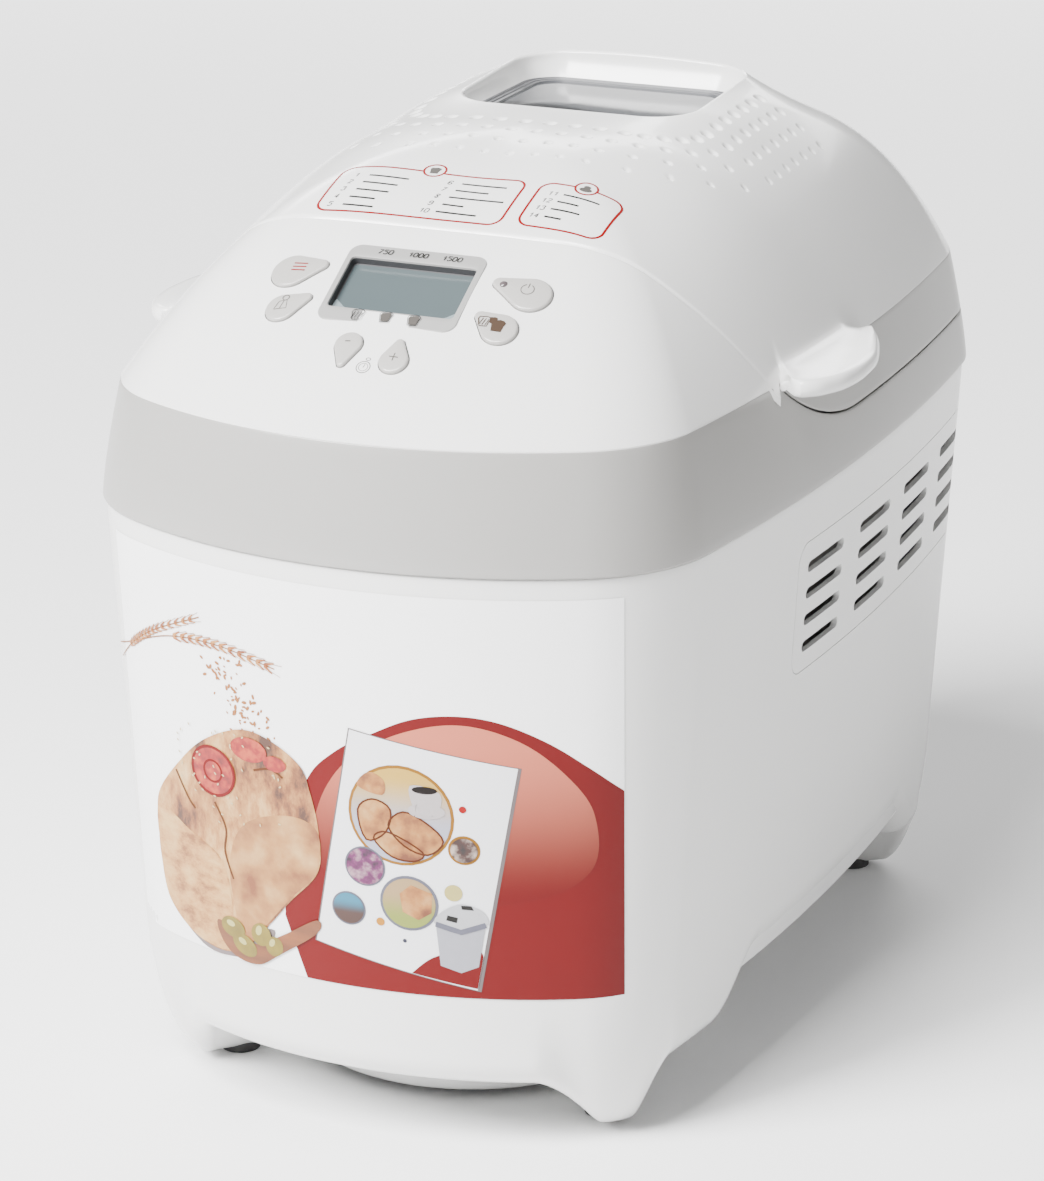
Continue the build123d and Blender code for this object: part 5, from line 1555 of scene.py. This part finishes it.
for path, low, size in (
    (((-108, 176), (-97, 187), (-82, 197), (-58, 208)), 0.30, 1.7),
    (((-110, 181), (-78, 195), (-50, 198), (-23, 193.5)), 0.42, 2.1),
):
    spine = curve(path, 14, closed=False)
    beards.append(ribbon(spine, 0.5))
    first = int(len(spine) * low)
    for k in range(first, len(spine) - 2, 2):
        along = spine[min(k + 1, len(spine) - 1)] - spine[k]
        turn = math.degrees(math.atan2(along[1], along[0]))
        for side in (1, -1):
            middle = spine[k] + turned([(0.6, side * 0.62 * size)], turn)[0]
            husks.append(filled(turned(drop(size * 2.2, size * 0.62, 6), turn + side * 24, middle)))
            beards.append(ribbon([middle, middle + turned([(2.6 * size, side * 0.5 * size)], turn)[0]], 0.18))
art("stalks", beards, 3, ink("print_straw", (0.55, 0.30, 0.10)))
art(
    "husks",
    husks,
    4,
    mottled("print_wheat", (0.50, 0.20, 0.05), (0.72, 0.38, 0.13), (0.82, 0.56, 0.28), scale=300.0),
)
spoon = curve(
    [
        (-57, 82),
        (-56, 74),
        (-49, 68.2),
        (-38, 67.6),
        (-28, 74),
        (-10.4, 87),
        (-10.6, 92.4),
        (-26, 83),
        (-40, 76),
    ],
    7,
)
wood = finish(
    "print_wood",
    lambda place: place.stretch(0.6, 1.0, 3.0).noise(90.0, 5.0).tint(
        strong((0.24, 0.09, 0.02)), strong((0.60, 0.30, 0.10))
    ),
    0.35,
)
art("spoon", [filled(spoon)], 8, wood)
olives = (
    (-50, 80.5, 4.3, 1.35, -8),
    (-44.5, 74.3, 4.2, 1.45, -24),
    (-36.3, 80.8, 4.6, 1.05, 70),
    (-30.2, 77.2, 3.9, 1.1, 60),
)
olive_ink = finish(
    "print_olive",
    lambda place: place.noise(140.0, 3.0).tint(strong((0.30, 0.25, 0.01)), strong((0.62, 0.52, 0.06))),
    0.3,
)
art(
    "olives",
    [filled(turned(disc(0, 0, r, wide), turn, (x, z))) for x, z, r, wide, turn in olives],
    9,
    olive_ink,
)
art(
    "olive_lights",
    [filled(turned(disc(0, 0, r * 0.3, 1.6), turn, (x - 1, z + r * 0.35))) for x, z, r, wide, turn in olives],
    10,
    ink("print_light", (0.80, 0.76, 0.45)),
)

# ---- Everything inside and beneath: the CAD's own pieces, with the finishes of their real materials.
base_grey = moulded("base_grey", (0.70, 0.70, 0.69), (0.66, 0.66, 0.65), 0.36)
steel = finish(
    "steel",
    lambda place: place.stretch(1.0, 1.0, 14.0).noise(50.0).tint((0.48, 0.48, 0.49), (0.60, 0.60, 0.61)),
    lambda place: 0.26 + 0.14 * place.noise(70.0),
    Metallic=1.0,
)
chamber_steel = finish(
    "chamber_steel",
    lambda place: place.noise(26.0, 5.0).tint((0.52, 0.52, 0.51), (0.60, 0.60, 0.59)),
    lambda place: 0.30 + 0.15 * place.noise(40.0),
    Metallic=0.85,
)
coating = finish(
    "pan_coating",
    lambda place: place.noise(500.0, 2.0).tint((0.030, 0.030, 0.032), (0.065, 0.065, 0.068)),
    lambda place: 0.42 + 0.12 * place.noise(200.0),
    lambda place: place.noise(900.0, 2.0),
    0.00005,
)
cast = finish(
    "cast_aluminium",
    lambda place: place.noise(90.0, 5.0).tint((0.46, 0.46, 0.47), (0.60, 0.60, 0.61)),
    lambda place: 0.42 + 0.15 * place.noise(120.0),
    lambda place: place.noise(600.0),
    0.00008,
    Metallic=0.9,
)
bronze = finish(
    "bronze",
    lambda place: place.noise(120.0).tint((0.40, 0.24, 0.09), (0.55, 0.36, 0.16)),
    lambda place: 0.3 + 0.15 * place.noise(90.0),
    Metallic=0.9,
)
rubber = moulded("rubber", (0.045, 0.045, 0.045), (0.03, 0.03, 0.03), 0.7)
silicone = moulded("silicone", (0.62, 0.61, 0.59), (0.56, 0.55, 0.53), 0.55)
nylon = moulded("nylon", (0.78, 0.76, 0.70), (0.72, 0.70, 0.64), 0.42)
board = finish(
    "board_green",
    lambda place: place.noise(160.0, 4.0).tint((0.015, 0.10, 0.04), (0.03, 0.19, 0.08)),
    lambda place: 0.35 + 0.15 * place.noise(90.0),
)
clear = finish(
    "clear_pane",
    lambda place: place.noise(20.0).tint((0.50, 0.54, 0.55), (0.55, 0.59, 0.60)),
    lambda place: 0.05 + 0.03 * place.noise(30.0),
)
lcd_module = finish(
    "lcd_module", lambda place: place.noise(60.0).tint((0.14, 0.17, 0.18), (0.18, 0.22, 0.23)), 0.3
)
FINISHES = {
    white_gloss: "vent_grille_right vent_grille_left",
    base_grey: "base_plate chamber_surround",
    dark_plastic: "cord_gland button_switches power_components",
    rubber: "foot_pads drive_belt",
    lcd_module: "display_module",
    board: "control_board power_board",
    lamp_dark: "status_lamp",
    clear: "lid_inner_window",
    chamber_steel: "lid_liner baking_chamber",
    silicone: "lid_gasket",
    steel: "hinge_brackets hinge_pins base_screws heating_element temperature_sensor pan_clips pan_shaft"
    " pan_handle spindle motor_shaft motor motor_screws chassis_plate chassis_screws",
    nylon: "chamber_spacers heater_insulators thermal_fuse large_pulley run_capacitor",
    cast: "pan_seat drive_coupler bearing_housing motor_pulley",
    coating: "bread_pan kneading_paddle",
    bronze: "pan_bush spindle_bushes",
}
cad_nodes = {item.name: item for item in bpy.data.objects if item.type == "MESH"}
for material, names in FINISHES.items():
    for name in names.split():
        for place in cad_nodes[name].material_slots:
            place.link = "OBJECT"
            place.material = material

# ---- Floor, lights and camera
floor_finish = finish(
    "floor", lambda place: place.noise(3.0).tint((0.86, 0.86, 0.86), (0.88, 0.88, 0.88)), 0.6
)
floor_mesh = bpy.data.meshes.new("floor")
FLOOR_HALF, FLOOR_DROP = 6.0, -0.0002
corners = [(x * FLOOR_HALF, y * FLOOR_HALF, FLOOR_DROP) for x, y in ((-1, -1), (1, -1), (1, 1), (-1, 1))]
floor_mesh.from_pydata(corners, [], [(0, 1, 2, 3)])
floor = bpy.data.objects.new("floor", floor_mesh)
bpy.context.scene.collection.objects.link(floor)
floor.data.materials.append(floor_finish)

world = bpy.data.worlds.new("studio")
bpy.context.scene.world = world
world.use_nodes = True
world.node_tree.nodes["Background"].inputs["Color"].default_value = (1, 1, 1, 1)
world.node_tree.nodes["Background"].inputs["Strength"].default_value = 0.36


def soft_light(name, place, aim, width, height, power):
    """A rectangular soft box that faces a point."""
    lamp = bpy.data.lights.new(name, "AREA")
    lamp.shape, lamp.size, lamp.size_y, lamp.energy = "RECTANGLE", width, height, power
    made = bpy.data.objects.new(name, lamp)
    bpy.context.scene.collection.objects.link(made)
    made.location = place
    made.rotation_euler = (Vector(aim) - Vector(place)).to_track_quat("-Z", "Y").to_euler()


soft_light("key", (-1.2, -2.0, 1.9), (0, -0.1, 0.3), 1.2, 1.0, 300)
soft_light("front_top", (-0.2, -1.3, 2.2), (0, -0.1, 0.3), 0.8, 0.8, 110)
soft_light("side", (2.0, -0.3, 1.1), (0, 0, 0.2), 0.8, 1.4, 5)
soft_light("backdrop", (-1.1, 4.0, 1.9), (-1.3, 4.3, 0), 4.2, 2.6, 420)

camera_data = bpy.data.cameras.new("camera")
camera = bpy.data.objects.new("camera", camera_data)
bpy.context.scene.collection.objects.link(camera)
bpy.context.scene.camera = camera
SENSOR, LENS = 36, 143.016630
CAMERA_PLACE = Vector((0.7218, -1.6868, 0.7798))
YAW, PITCH, ROLL = math.radians(-23.455), math.radians(18.496), math.radians(-0.132)
forward = Vector((math.cos(PITCH) * math.sin(YAW), math.cos(PITCH) * math.cos(YAW), -math.sin(PITCH)))
right = Vector((math.cos(YAW), -math.sin(YAW), 0))
upward = right.cross(forward)
right, upward = (
    math.cos(ROLL) * right + math.sin(ROLL) * upward,
    -math.sin(ROLL) * right + math.cos(ROLL) * upward,
)
camera.matrix_world = Matrix.Translation(CAMERA_PLACE) @ Matrix(
    (right, upward, -forward)
).transposed().to_4x4()
camera_data.sensor_fit = "AUTO"
camera_data.sensor_width = SENSOR
camera_data.lens = LENS
camera_data.clip_end = 50
